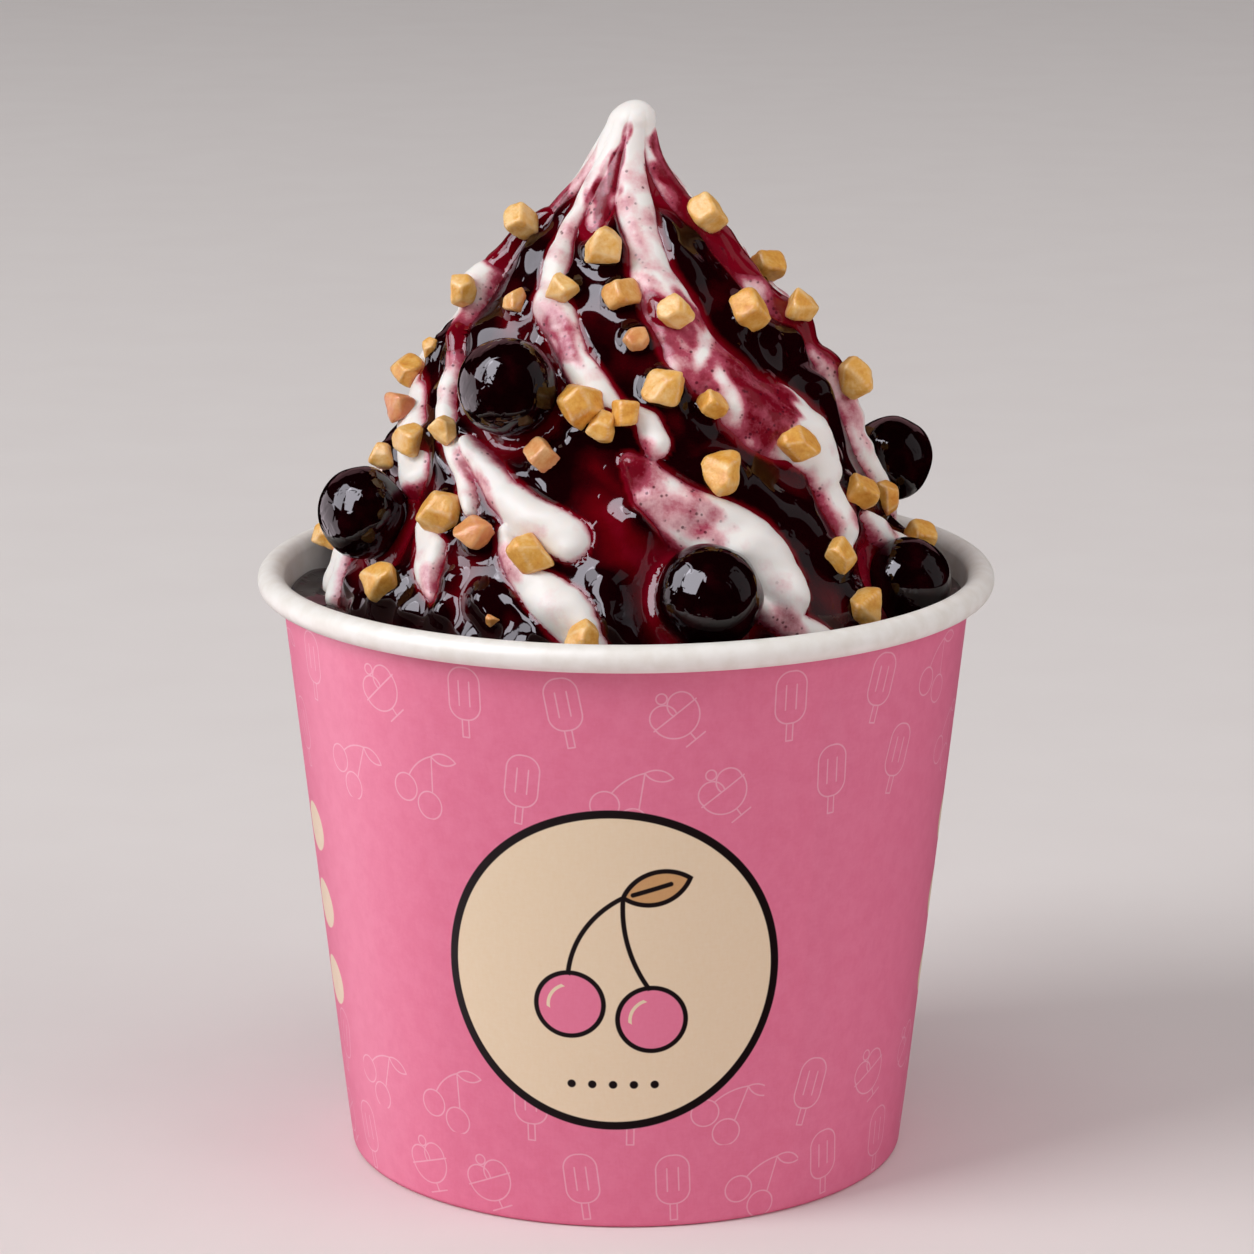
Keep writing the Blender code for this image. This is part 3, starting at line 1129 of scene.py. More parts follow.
@dataclass(frozen=True)
class Fold:
    """One ridge of ice cream: points (height, bearing, half width) down its crest.

    The swell gives (height, share) points, where the share tells how much of the usual depth
    the ridge rises to.
    """

    points: tuple[tuple[float, float, float], ...]
    swell: Knots = ((0, 1),)

    def crest(self, grid: SurfaceGrid, spacing: float = 2) -> Array:
        """Places along the crest, evenly spaced: distance down the line, bearing, half width, share.

        Args:
            grid: The places.
            spacing: Distance between them.

        Returns:
            Distance down the line, bearing, half width and share of each place.
        """
        knots = sorted(self.points)
        swell = sorted(self.swell)
        height = np.linspace(knots[-1][0], knots[0][0], 300)
        bearing = np.radians(curve_through([(p[0], p[1]) for p in knots], height))
        along = np.interp(-height, -grid.label, grid.along)
        reach = np.interp(along, grid.along, grid.reach)
        run = np.cumsum(np.hypot(np.gradient(along), np.gradient(bearing) * reach))
        stops = np.linspace(run[0], run[-1], max(3, round((run[-1] - run[0]) / spacing)))
        height = np.interp(stops, run, height)
        return np.stack((
            np.interp(stops, run, along),
            np.interp(stops, run, bearing),
            np.interp(height, [p[0] for p in knots], [p[2] for p in knots]),
            np.interp(height, [p[0] for p in swell], [p[1] for p in swell]),
        ), axis=-1)

    def rise(self, grid: SurfaceGrid) -> Array:
        """Share of the full depth that this fold rises to, everywhere on the grid.

        Args:
            grid: The places.

        Returns:
            Shares, for every row and column.
        """
        stops = self.crest(grid)
        widest = stops[:, 2].max()
        total = np.zeros(grid.shape)
        near = np.abs(grid.along - np.clip(grid.along, stops[0, 0], stops[-1, 0])) < widest
        along, reach = grid.along[near, None], grid.reach[near, None]
        for (down, turn, half, share), (next_down, next_turn, next_half, next_share) in zip(stops, stops[1:]):
            right = wrapped(grid.bearing - turn)[None, :] * reach
            below = along - down
            run_right, run_below = (next_turn - turn) * reach, next_down - down
            part = np.clip((right * run_right + below * run_below) / (run_right**2 + run_below**2), 0, 1)
            gap = np.hypot(right - part * run_right, below - part * run_below)
            shape = np.clip(gap / (half + (next_half - half) * part), 0, 1)
            ridge = (share + (next_share - share) * part) * (1 - shape**2.3) ** 0.6
            total[near] = np.maximum(total[near], ridge)
        return total


@dataclass(frozen=True)
class Patch:
    """An oval area of the swirl. Its turn is measured from straight down towards the right."""

    height: float
    bearing: float
    length: float
    width: float
    turn: float
    strength: float = 1

    def axes(self, grid: SurfaceGrid) -> tuple[Array, Array]:
        """How far every place lies along and across the oval, in millimetres.

        Args:
            grid: The places.

        Returns:
            The two distances, for every row and column.
        """
        right, down = grid.offset(self.height, self.bearing)
        turn = math.radians(self.turn)
        cosine, sine = math.cos(turn), math.sin(turn)
        return down * cosine + right * sine, right * cosine - down * sine

    def edge(self, grid: SurfaceGrid) -> Array:
        """0 in the middle and 1 on the outline, everywhere on the grid."""
        along, across = self.axes(grid)
        return np.hypot(along / (0.5 * self.length), across / (0.5 * self.width))

    def bulge(self, grid: SurfaceGrid, fade: float = 1.2) -> Array:
        """The strength in the middle, fading smoothly past the outline."""
        return self.strength * np.exp(-fade * self.edge(grid) ** 2)

    def streaks(self, grid: SurfaceGrid, seed: int) -> Array:
        """Uneven streaks that run lengthways, mostly between -1 and 1, everywhere on the grid."""
        along, across = self.axes(grid)
        return waves(np.stack((along * 0.3, across, 0 * across), axis=-1), 2, 100 + seed)


def patches(*rows: tuple[float, ...]) -> tuple[Patch, ...]:
    """Patches from rows of their numbers."""
    return tuple(Patch(*row) for row in rows)


# ---------------- meshes


def mesh_of(name: str, points: Array, faces: Sequence[Any], smooth: bool = True) -> Mesh:
    """Make a mesh from points in millimetres and lists of their numbers.

    Args:
        name: The mesh's name.
        points: Their places.
        faces: Numbers of each face's points.
        smooth: Whether it is shaded smooth.

    Returns:
        The mesh.
    """
    mesh = bpy.data.meshes.new(name)
    mesh.from_pydata((points.reshape(-1, 3) * MM).tolist(), [], faces)
    mesh.update()
    if smooth:
        mesh.shade_smooth()
    return mesh


def store(mesh: Mesh, name: str, kind: str, values: Array) -> None:
    """Keep one value for each of a mesh's points.

    Args:
        mesh: The mesh.
        name: The attribute's name.
        kind: Its data type.
        values: One value or vector for each point.
    """
    attribute = mesh.attributes.new(name, kind, "POINT")
    key = "vector" if kind == "FLOAT_VECTOR" else "value"
    number = np.int32 if kind == "INT" else np.float32
    attribute.data.foreach_set(key, np.ascontiguousarray(values, number).ravel())


def shown(name: str, data: Any) -> Object:
    """Put a mesh, lamp or camera in the scene as an object.

    Args:
        name: The object's name.
        data: The mesh, lamp or camera.

    Returns:
        The object.
    """
    item = bpy.data.objects.new(name, data)
    bpy.context.scene.collection.objects.link(item)
    return item


def add_piece(name: str, mesh: Mesh, slot: Slot, *nodes: str) -> Object:
    """Show a mesh as a piece of the object.

    Args:
        name: The piece's name.
        mesh: Its mesh, already in place and with its material.
        slot: The record's slot for this piece; not used.
        nodes: CAD nodes that it stands for.

    Returns:
        The piece.
    """
    piece = shown(name, mesh)
    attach(piece, BODY)
    if nodes:
        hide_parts(*nodes)
    return piece


def grid_faces(rows: int, columns: int) -> Array:
    """Faces (row, column, corner) of a grid that is closed round the axis, facing outwards.

    Args:
        rows: Number of rows.
        columns: Number of columns.

    Returns:
        Numbers of each face's points.
    """
    number = np.arange(rows * columns).reshape(rows, columns)
    right = np.roll(number, -1, axis=1)
    return np.stack((number[:-1], number[1:], right[1:], right[:-1]), axis=-1)


def closed_faces(rows: int, columns: int) -> list[tuple[int, ...]]:
    """Faces of such a grid with its two ends closed round two more points, first and last.

    Args:
        rows: Number of rows.
        columns: Number of columns.

    Returns:
        Numbers of each face's points.
    """
    faces = grid_faces(rows, columns).reshape(-1, 4).tolist()
    count = rows * columns
    for number in range(columns):
        after = (number + 1) % columns
        faces.append((count, number, after))
        faces.append((count + 1, count - columns + after, count - columns + number))
    return faces


def ball_points(rings: int, segments: int) -> Array:
    """Points of a ball of radius 1, ring by ring from the top, and then its two poles.

    Args:
        rings: Number of rings between the poles.
        segments: Points on each ring.

    Returns:
        Their places.
    """
    polar = np.linspace(0, math.pi, rings + 2)[1:-1][:, None]
    around = np.linspace(0, TAU, segments, endpoint=False)[None, :]
    rounds = (np.sin(polar) * np.cos(around), np.sin(polar) * np.sin(around), np.cos(polar) + 0 * around)
    return np.concatenate((np.stack(rounds, axis=-1).reshape(-1, 3), ((0, 0, 1), (0, 0, -1))))


def read_back(mesh: Mesh) -> Array:
    """Places of a mesh's points, in its own units.

    Args:
        mesh: The mesh.

    Returns:
        One row for each point.
    """
    points = np.zeros(len(mesh.vertices) * 3, np.float32)
    mesh.vertices.foreach_get("co", points)
    return points.reshape(-1, 3)


# ---------------- geometry recipes


class Recipe:
    """A Geometry Nodes tree with named inputs, which is run once and baked to a plain mesh."""

    def __init__(self, name: str) -> None:
        """Start an empty tree that takes and gives geometry.

        Args:
            name: The tree's name.
        """
        self.tree = bpy.data.node_groups.new(name, "GeometryNodeTree")
        self.sheet = NodeSheet(self.tree)
        self.inputs: dict[str, str] = {}
        self.tree.interface.new_socket("Geometry", in_out="INPUT", socket_type="NodeSocketGeometry")
        self.tree.interface.new_socket("Geometry", in_out="OUTPUT", socket_type="NodeSocketGeometry")
        self.source = self.sheet.add("NodeGroupInput")

    def input(self, name: str, kind: str) -> Signal:
        """Add a named input of a socket kind, such as "Float".

        Args:
            name: The input's name.
            kind: Its socket's kind.

        Returns:
            Its value inside the tree.
        """
        socket = self.tree.interface.new_socket(name, in_out="INPUT", socket_type="NodeSocket" + kind)
        self.inputs[name] = socket.identifier
        return self.source.out(socket.identifier)

    def held(self, name: str, kind: str = "FLOAT") -> Signal:
        """A value that the geometry's points hold."""
        values = {"Name": name}
        return self.sheet.add("GeometryNodeInputNamedAttribute", {"data_type": kind}, values, "Attribute")

    def finish(self, geometry: Signal) -> None:
        """Realize what is instanced and end the tree."""
        real = self.sheet.add("GeometryNodeRealizeInstances", None, {"Geometry": geometry})
        self.sheet.add("NodeGroupOutput", None, {0: real})

    def dress(self, geometry: Signal, material: Signal, where: Signal | None = None) -> Signal:
        """Set a material on the faces where a signal says so, or on all of them.

        Args:
            geometry: What is dressed.
            material: The material.
            where: Which faces get it.

        Returns:
            The dressed geometry.
        """
        values: Inputs = {"Geometry": geometry, "Material": material}
        if where is not None:
            values["Selection"] = where
        return self.sheet.add("GeometryNodeSetMaterial", None, values)

    def bake(self, name: str, start: Mesh, values: dict[str, Any]) -> Mesh:
        """Run the tree.

        Args:
            name: Name of the finished mesh.
            start: The mesh that the tree starts from.
            values: Values of the named inputs.

        Returns:
            The result as a plain mesh.
        """
        carrier = shown(name + "_start", start)
        modifier = carrier.modifiers.new("recipe", "NODES")
        modifier.node_group = self.tree
        for label, value in values.items():
            modifier[self.inputs[label]] = value
        graph = bpy.context.evaluated_depsgraph_get()
        mesh = bpy.data.meshes.new_from_object(
            carrier.evaluated_get(graph), preserve_all_data_layers=True, depsgraph=graph
        )
        mesh.name = name
        carrier.modifiers.remove(modifier)
        bpy.data.objects.remove(carrier)
        bpy.data.meshes.remove(start)
        return mesh


# ---------------- the tub


@dataclass
class Tub:
    """Paper tub: a wall with a rolled rim and a folded foot, and the base disc in its fold."""

    sides: int = 360
    card: float = 0.6
    foot_radius: float = 42
    roll_radius: float = 2
    roll_sweep: float = 300
    foot_bend: float = 0.9
    fold_height: float = 5.2
    pocket: float = 1.4
    disc_underside: float = 5.8
    disc_card: float = 0.5
    flange_bottom: float = 1.3
    gap: float = 0.3
    lap_width: float = 9
    lap_step: float = 0.35
    lap_fade: float = 0.12
    lap_edge: float = 0.02
    weld: float = 0.004
    wall_rows: int = 14
    sharp_angle: float = 50

    def __post_init__(self) -> None:
        """Take the rim's place from the frame."""
        _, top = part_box("cup_wall")
        self.roll_centre = (top.x / MM - self.roll_radius, top.z / MM - self.roll_radius)

    def outside(self, height: float) -> float:
        """Radius of the wall's outer face."""
        top = self.roll_centre[0] - self.roll_radius + self.card
        return self.foot_radius + (top - self.foot_radius) * height / self.roll_centre[1]

    def inside(self, height: float) -> float:
        """Radius of the wall's inner face."""
        return self.outside(height) - self.card

    @staticmethod
    def arc(centre: Point, radius: float, start: float, sweep: float, steps: int) -> list[Point]:
        """Points (radius, height) along an arc whose angles are in degrees, both ends included."""
        angles = np.radians(start + sweep * np.arange(steps + 1) / steps)
        return [(centre[0] + radius * math.cos(a), centre[1] + radius * math.sin(a)) for a in angles]

    def wall_outline(self) -> tuple[list[Point], list[float]]:
        """Section of the wall.

        Returns:
            Its points in order, from the first round to it again, and for each 1 on the printed
            face and 0 on the plain one.
        """
        bend = self.foot_bend
        heights = np.linspace(bend, self.roll_centre[1], self.wall_rows)
        flap_out = self.inside(0) - self.pocket
        lean = self.outside(self.fold_height) - self.outside(0)
        flap_in = flap_out - self.card
        printed = self.arc((flap_in + bend, bend), bend, 180, 90, 6)
        printed += self.arc((self.foot_radius - bend, bend), bend, -90, 90, 6)
        printed += [(self.outside(z), z) for z in heights[1:-1]]
        printed += self.arc(self.roll_centre, self.roll_radius - self.card, 180, -self.roll_sweep, 40)
        plain = self.arc(self.roll_centre, self.roll_radius, 180, -self.roll_sweep, 56)[::-1]
        plain += [(self.inside(z), z) for z in heights[-2:0:-1]]
        inner = bend - self.card
        plain += self.arc((self.inside(bend) - inner, self.card + inner), inner, 0, -90, 3)
        plain += self.arc((flap_out + inner, self.card + inner), inner, -90, -90, 3)
        plain += [(flap_out + lean, self.fold_height)]
        close = [(flap_in + lean, self.fold_height), printed[0]]
        return printed + plain + close, [1] * len(printed) + [0] * len(plain) + [1, 1]

    def disc_outline(self) -> list[Point]:
        """Half section of the base disc with its flange, from the axis round to the axis.

        Returns:
            Its points in order.
        """
        top = self.disc_underside + self.disc_card
        rim = self.inside(top) - self.gap
        foot = self.inside(self.flange_bottom) - self.gap
        bend = 2 * self.disc_card
        under = [(radius, self.disc_underside) for radius in np.linspace(0, rim - 2 * bend, 12)]
        centre = (rim - 2 * bend, self.disc_underside - self.disc_card)
        inner_bend = self.arc(centre, self.disc_card, 90, -90, 5)
        flange = [(foot - self.disc_card, self.flange_bottom), (foot, self.flange_bottom)]
        outer_bend = self.arc((rim - bend, top - bend), bend, 0, 90, 6)
        over = [(radius, top) for radius in np.linspace(rim - bend, 0, 12)[1:]]
        return under + inner_bend + flange + outer_bend + over

    def recipe(self) -> Recipe:
        """Turn an outline about the axis, with the card's lap at the back.

        Returns:
            A recipe that starts from an outline's points, which hold "printed".
        """
        recipe = Recipe("turned_card")
        sheet = recipe.sheet
        sides = recipe.input("Sides", "Int")
        lap_angle, lap_step = recipe.input("Lap angle", "Float"), recipe.input("Lap step", "Float")
        printed_card, plain_card = (recipe.input(name, "Material") for name in ("Printed card", "Plain card"))
        outline = recipe.source.out("Geometry")
        size = sheet.add("GeometryNodeAttributeDomainSize", {"component": "MESH"}, {"Geometry": outline})
        count = size.out("Point Count")
        values = {"Vertices X": sides + 1, "Vertices Y": count}
        grid = sheet.add("GeometryNodeMeshGrid", None, values, "Mesh")
        index = sheet.add("GeometryNodeInputIndex")
        row = index % count
        values = {"Geometry": outline, "Value": sheet.add("GeometryNodeInputPosition"), "Index": row}
        x, _, z = sheet.split(sheet.add("GeometryNodeSampleIndex", {"data_type": "FLOAT_VECTOR"}, values))
        values = {"Geometry": outline, "Value": recipe.held("printed"), "Index": row}
        printed = sheet.add("GeometryNodeSampleIndex", {"data_type": "FLOAT"}, values)
        bearing = (index / count + 0.0001).floor() / sides * TAU - math.pi
        lap_start = math.pi - lap_angle
        lap = bearing.rise(lap_start - self.lap_fade, lap_start) - bearing.above(math.pi - self.lap_edge)
        radius = x + lap * lap_step * printed
        place = sheet.vector(radius * bearing.sine(), radius * bearing.cosine() * -1, z)
        moved = sheet.add("GeometryNodeSetPosition", None, {"Geometry": grid, "Position": place})
        values = {"Geometry": moved, "Name": "printed", "Value": printed}
        kept = sheet.add("GeometryNodeStoreNamedAttribute", {"data_type": "FLOAT", "domain": "POINT"}, values)
        values = {"Geometry": kept, "Distance": self.weld * MM}
        welded = sheet.add("GeometryNodeMergeByDistance", None, values)
        smooth = sheet.add("GeometryNodeSetShadeSmooth", None, {"Geometry": welded})
        plain = recipe.dress(smooth, plain_card)
        recipe.finish(recipe.dress(plain, printed_card, recipe.held("printed").above(0.5)))
        return recipe

    def turned(
        self, recipe: Recipe, name: str, points: list[Point], printed: list[float],
        cards: tuple[Material, Material],
    ) -> Mesh:
        """Run the recipe on one outline and face the result outwards.

        Args:
            recipe: The recipe of turned card.
            name: The mesh's name.
            points: The outline.
            printed: For each point 1 on the printed face and 0 on the plain one.
            cards: The printed and the plain card.

        Returns:
            The mesh.
        """
        start = bpy.data.meshes.new(name + "_outline")
        start.from_pydata([(radius * MM, 0, height * MM) for radius, height in points], [], [])
        store(start, "printed", "FLOAT", np.array(printed))
        values = {"Sides": self.sides, "Printed card": cards[0], "Plain card": cards[1]}
        values |= {"Lap angle": self.lap_width / self.foot_radius, "Lap step": self.lap_step * MM}
        mesh = recipe.bake(name, start, values)
        face_outwards(mesh)
        mesh.set_sharp_from_angle(angle=math.radians(self.sharp_angle))
        return mesh

    def build(self) -> list[Object]:
        """Make and dress the wall and the base disc.

        Returns:
            The two pieces.
        """
        cards = (CardPrint("printed_pink_card").make(), PlainCard("plain_white_card").make())
        recipe = self.recipe()
        wall = self.turned(recipe, "tub_wall", *self.wall_outline(), cards)
        outline = self.disc_outline()
        disc = self.turned(recipe, "tub_base", outline, [0] * len(outline), cards)
        return [
            add_piece("tub_wall", wall, Slot.PINK_CARD, "cup_wall"),
            add_piece("tub_base", disc, Slot.WHITE_CARD, "cup_base"),
        ]


def face_outwards(mesh: Mesh) -> None:
    """Point a closed mesh's faces outwards.

    Args:
        mesh: The mesh.
    """
    bm = bmesh.new()
    bm.from_mesh(mesh)
    bmesh.ops.recalc_face_normals(bm, faces=bm.faces)
    bm.to_mesh(mesh)
    bm.free()


# ---------------- ice cream and sauce


def front_folds() -> list[Fold]:
    """The folds that show from the front, from left to right along the top and then the foot.

    Returns:
        The folds.
    """
    return [
        Fold((
            (158, -62, 1.5), (153, -64, 1.5), (149, -72, 1.8), (144, -80, 2), (139, -83, 2.4),
            (134, -80, 3), (130, -76, 2.8), (126.5, -70, 2.2), (122, -62.5, 2.7), (118, -59, 2.6),
            (114, -52.5, 2.4), (109.5, -43.5, 2), (106.5, -39.5, 2.2), (104.2, -37, 1.4),
        ), ((122, 1), (128, 1.25), (134, 1.55), (139, 1.2), (144, 1))),
        Fold((
            (158, -28, 1.5), (153.4, -32, 1.6), (150, -41, 1.9), (147, -44.5, 2.2), (144.5, -46, 2),
            (141, -43.5, 2.2), (138, -38.5, 3), (134, -34.5, 3.5), (131.2, -27.5, 3.6), (128, -20, 3),
            (125, -14.5, 3.1), (121.5, -7, 2.8), (118.5, 0, 2.2),
        ), ((119, 0.9), (125, 1))),
        Fold((
            (119.5, 1.5, 1.6), (117.8, 4.8, 2.6), (116.2, 6.8, 3), (114.8, 7.8, 2.6),
        ), ((112, 1.25), (119, 0.95))),
        Fold((
            (154.5, -10, 1.2), (151, -17, 1.9), (148, -22.5, 2.6), (145, -25.5, 2.9), (142.5, -24, 2.5),
            (140.5, -21.5, 1.4),
        ), ((140, 0.52), (150, 0.66))),
        Fold((
            (158, 15, 1.8), (153, 13, 2), (149, 10.3, 2.7), (145.5, 9.2, 3.4), (140.5, 11.3, 3.7),
            (136, 13.8, 4.8), (131, 19.2, 5.5), (126.2, 23.3, 5.9), (122.5, 29.3, 6.3),
            (118.7, 36.6, 6.9), (115.8, 46.4, 6.9), (113.2, 54, 6.6), (110.2, 55.6, 5.6),
            (107.6, 53.8, 3.6),
        ), ((105, 1.2), (112, 1.35), (117, 1.15), (124, 1))),
        Fold((
            (109, 54.5, 2.6), (106, 54, 4), (102.5, 55.5, 4.6), (99.5, 55, 3.2), (98, 54, 1.5),
        )),
        Fold((
            (158, 62, 1.9), (153, 66, 2.4), (147, 67, 3.6), (141, 69, 4.8), (135, 72, 5), (130, 76, 4.6),
            (124, 80, 4.2), (116, 81, 3.6), (109, 82, 3.4), (104, 88, 3.4), (97, 102, 3.6), (88, 114, 3),
        ), ((106, 1), (116, 1.3), (132, 1.15), (145, 1.1))),
        Fold((
            (113.5, -45, 1.4), (111.5, -40.5, 2.2), (109, -33.7, 3.1), (107, -28.5, 3.8),
            (104.8, -22.9, 4), (103.3, -17.5, 4.3), (102, -12, 3.7),
        ), ((101, 1.3), (106, 1.1), (112, 0.9))),
        Fold((
            (112.6, 0.6, 1.8), (110.2, 4.4, 3.5), (107.7, 8.2, 4.8), (105.3, 13.5, 5.2),
            (102.9, 20.6, 5.5), (100.4, 27.4, 5.8), (97, 31.4, 5.6), (94.2, 32.6, 4.9), (91.5, 32.4, 2.8),
        ), ((90, 1.3), (101, 1.35), (106, 1.1), (112, 0.9))),
        Fold((
            (103, -49, 2.6), (100.8, -47.6, 3.9), (98.7, -46.2, 4.2), (96, -44.2, 3.3),
            (93.5, -41.5, 1.9), (92, -39.7, 0.8),
        ), ((90, 0.85), (99, 1.05))),
        Fold((
            (102.5, -27.5, 1.6), (100.2, -25.9, 2.3), (97.5, -22.5, 2.7), (95.1, -16.7, 3.7),
            (93.2, -12.3, 4.3), (90.4, -9, 4), (87.5, -5.5, 2.4),
        ), ((88, 1.2), (94, 1.3), (99, 1))),
        Fold((
            (93, 26, 1.4), (90.3, 30.6, 2.6), (87, 38.5, 2.4), (84, 44, 2),
        )),
        Fold((
            (101, 65, 1.4), (98.2, 71.2, 2.8), (95, 80, 2.8), (90, 90, 2.4),
        )),
        Fold((
            (101, -86, 2.4), (95, -82, 2.6), (87, -76, 2),
        )),
    ]


def back_folds() -> list[Fold]:
    """The folds at the back: four from the tip down, and a lower tier between their feet.

    Returns:
        The folds.
    """
    folds = []
    for number, (top_bearing, last) in enumerate(((102, 85), (148, 85), (195, 85), (242, 106))):
        points = []
        for height in range(157, last, -7):
            twist = 76 / (1 + math.exp((height - 115) / 8))
            sway = 4 * math.sin(0.19 * height + 1.7 * number)
            broad = min(4.6, 1.3 + 0.155 * (157 - height))
            broad *= 1 + 0.12 * math.sin(0.3 * height + 2 * number)
            points.append((height, top_bearing + twist + sway, broad))
        folds.append(Fold(tuple(points)))
    for number, foot_bearing in enumerate((142, 203, 250)):
        points = []
        for height in range(106, 85, -5):
            drift = -1.9 * (height - 90) + 2 * math.sin(0.5 * height + number)
            broad = 1.6 + 2.4 * math.sin(math.pi * min(1, (108 - height) / 26))
            points.append((height, foot_bearing + drift, broad))
        folds.append(Fold(tuple(points)))
    return folds


@dataclass
class Relief:
    """Rises of ice cream and sauce above the floor line, and how the sauce has stained the cream."""

    form: SwirlForm
    folds: list[Fold]
    pool_level: float = 3.5
    climb: float = 0.6
    dip: float = 2.1
    draw: float = 0.85
    lip: float = 0.14
    valley_share: Knots = (
        (84, 0.56), (140, 0.56), (144, 0.4), (147, 0.15), (150, -0.02), (153.5, -0.1), (157.5, -0.8),
    )
    bead_seed: int = 8
    bead_count: int = 120
    fringe_width: Knots = (
        (84, 0.2), (125, 0.22), (136, 0.3), (146, 0.36), (150, 0.28), (153, 0.16), (157, 0.08),
    )
    lumps: tuple[Patch, ...] = patches(
        (138.5, -62, 7, 6, 40, 1.7), (127.5, -60, 8, 6, 60, 1.2), (137.5, 35, 8, 5.5, 20, 1.1),
        (125.5, 55, 5, 5, 40, 1.5), (126, 69, 6, 6, 40, 1.6), (121.5, 46, 5, 4, 40, 1),
        (119.5, 65, 6, 6, 40, 1.7), (131.5, 50, 6, 5, 20, 1.1), (142, 32, 5, 4, 10, 0.9),
        (126.5, -8, 5.5, 4.5, 30, 0.9), (109.5, -21, 12, 4.5, 62, 0.9), (95.2, -37, 4.4, 4.4, 20, 1.8),
        (93, -28.8, 5.2, 4.8, 40, 1.8), (91, -37.5, 4.2, 3.8, 60, 1.4), (90, -46, 4, 4.5, 40, 1.3),
        (87.5, -31, 4.6, 3.8, 70, 1.2), (87, -20, 5, 4, 70, 1.1), (88, 2, 4.5, 4, 60, 1.1),
        (90, -56, 5, 4, 60, 1.2), (86.5, -64, 5, 4, 80, 1), (96.5, -4, 6, 5.5, 60, 1.4),
        (91, -3, 6, 3.5, 20, 1), (93, 60.5, 12, 6, 0, -1.6), (117, 17, 9, 5, 50, 0.8),
        (103.5, 42, 14, 6, 45, 0.9), (109.5, 30, 8, 5, 50, 0.6), (117.5, 68, 9, 7, 40, 1.5),
        (98, 46, 8, 6, 30, 0.8), (106, -60, 6, 5, 20, 1), (112.5, -76, 7, 6, 20, 1.2),
        (120, -80, 8, 6, 20, 1.2), (131, 110, 9, 7, 30, 1.3), (118, 152, 10, 8, 40, 1.3),
        (135, 190, 8, 6, 30, 1.2), (106, 236, 10, 8, 30, 1.3), (122, 248, 9, 7, 30, 1.3),
    )
    spills: tuple[Patch, ...] = patches(
        (142.5, 67, 9, 5.5, 8, 0.16), (138, 71, 12, 7, 14, 0.3), (128, 78, 12, 8, 20, 0.42),
        (119.5, 84, 9, 6, 20, 0.4), (131.5, 13.5, 6, 3, 30, 0.3), (118, -10, 6, 4, 60, 0.5),
        (126, -66, 5, 4, 60, 0.4), (139.6, -76, 10, 9.5, 10, 1), (106.5, -46.5, 8, 2.4, 38, 0.2),
        (134, 130, 9, 7, 30, 0.4), (120, 176, 10, 7, 45, 0.4), (138, 214, 8, 6, 30, 0.4),
        (104, 226, 9, 8, 40, 0.45),
    )
    clearings: tuple[Patch, ...] = patches(
        (149, -13, 16, 3.2, -3, 1.8), (143.5, -36, 7, 5, 10, 1.5), (103.3, -1, 13, 9, 52, 2.2),
        (106, 3, 18, 3, 46, 1.2), (106, -50, 12, 2.6, 40, 1.2), (94.5, -34, 12, 11, 30, 1.7),
        (90.5, -13, 7, 5, 30, 1.2), (128.5, 11.5, 9, 3.4, 40, 1.2), (118.5, 12.5, 9, 3, 30, 1.2),
        (114.5, 36, 12, 3, 50, 1), (150, 44, 10, 4, 0, 1.5), (137, 62, 12, 6, 10, 0.6),
        (92.5, 43.5, 8, 5, 30, 1.3), (131, -50, 8, 3, 30, 1.3), (133, 176, 10, 4, 20, 1.2),
        (112, 205, 10, 4, 45, 1.2),
    )
    smears: tuple[Patch, ...] = patches(
        (145, 3, 6, 2.6, 10, 0.3), (141, 6, 12, 3.4, 15, 0.3), (134.5, 10, 9, 3.6, 25, 0.42),
        (143.5, 17, 3, 4, 60, 0.36), (149.5, -14, 12, 3, -5, 1), (146, -23, 9, 5.4, 6, 0.98),
        (150, -28, 7, 2, -4, 0.4), (128, 20, 10, 9, 35, 0.72), (122, 31, 17, 11, 42, 0.86),
        (117, 38, 12, 10, 50, 0.95), (119.5, 44.5, 10, 9, 50, 0.97), (130.5, 27, 12, 5, 32, 0.75),
        (110.5, 66, 8, 4, 25, 0.8), (103, 50.5, 12, 3.4, 5, 0.6), (101, 57.5, 4, 4, 20, 0.5),
        (107.5, 9.5, 19, 11, 50, 0.58), (111.5, 2, 6, 8, 55, 0.95), (131, -31, 6, 7, 50, 0.28),
        (128.4, -22.5, 13, 5, 46, 0.62), (134, -42, 9, 2.6, 25, 0.62), (150, -68, 9, 3.2, 5, 0.36),
        (145, -73, 7, 6, 10, 0.95), (132.5, -69.5, 9, 2.6, 15, 0.85), (128.5, -71, 5, 3, 20, 0.6),
        (123, -62, 3.6, 6, 20, 0.56), (119, -58.5, 1.3, 6, 20, 0.4), (110, -41.5, 9, 2, 40, 0.7),
        (107, -34, 9, 3.2, 35, 0.5), (98, -24.5, 7, 4, 30, 0.5), (94.5, -42, 7, 3.4, 20, 0.5),
        (90, 31, 7, 4, 60, 0.55), (98, 74, 7, 4, 60, 0.5), (152.5, 68, 7, 4.8, 0, 0.86),
        (147.5, 66, 11, 8, 4, 0.97), (140, 67, 14, 11, 8, 1), (128, 78, 14, 9, 20, 0.9),
        (113, 79, 14, 2.2, 10, 0.55), (111, 87, 14, 2, 10, 0.5), (131, 112, 14, 8, 25, 0.6),
        (118, 130, 12, 8, 40, 0.5), (140, 196, 10, 4, 15, 0.55), (124, 212, 12, 8, 40, 0.65),
        (101, 184, 10, 8, 50, 0.6), (141, 248, 12, 5, 12, 0.5), (112, 246, 10, 6, 30, 0.5),
    )
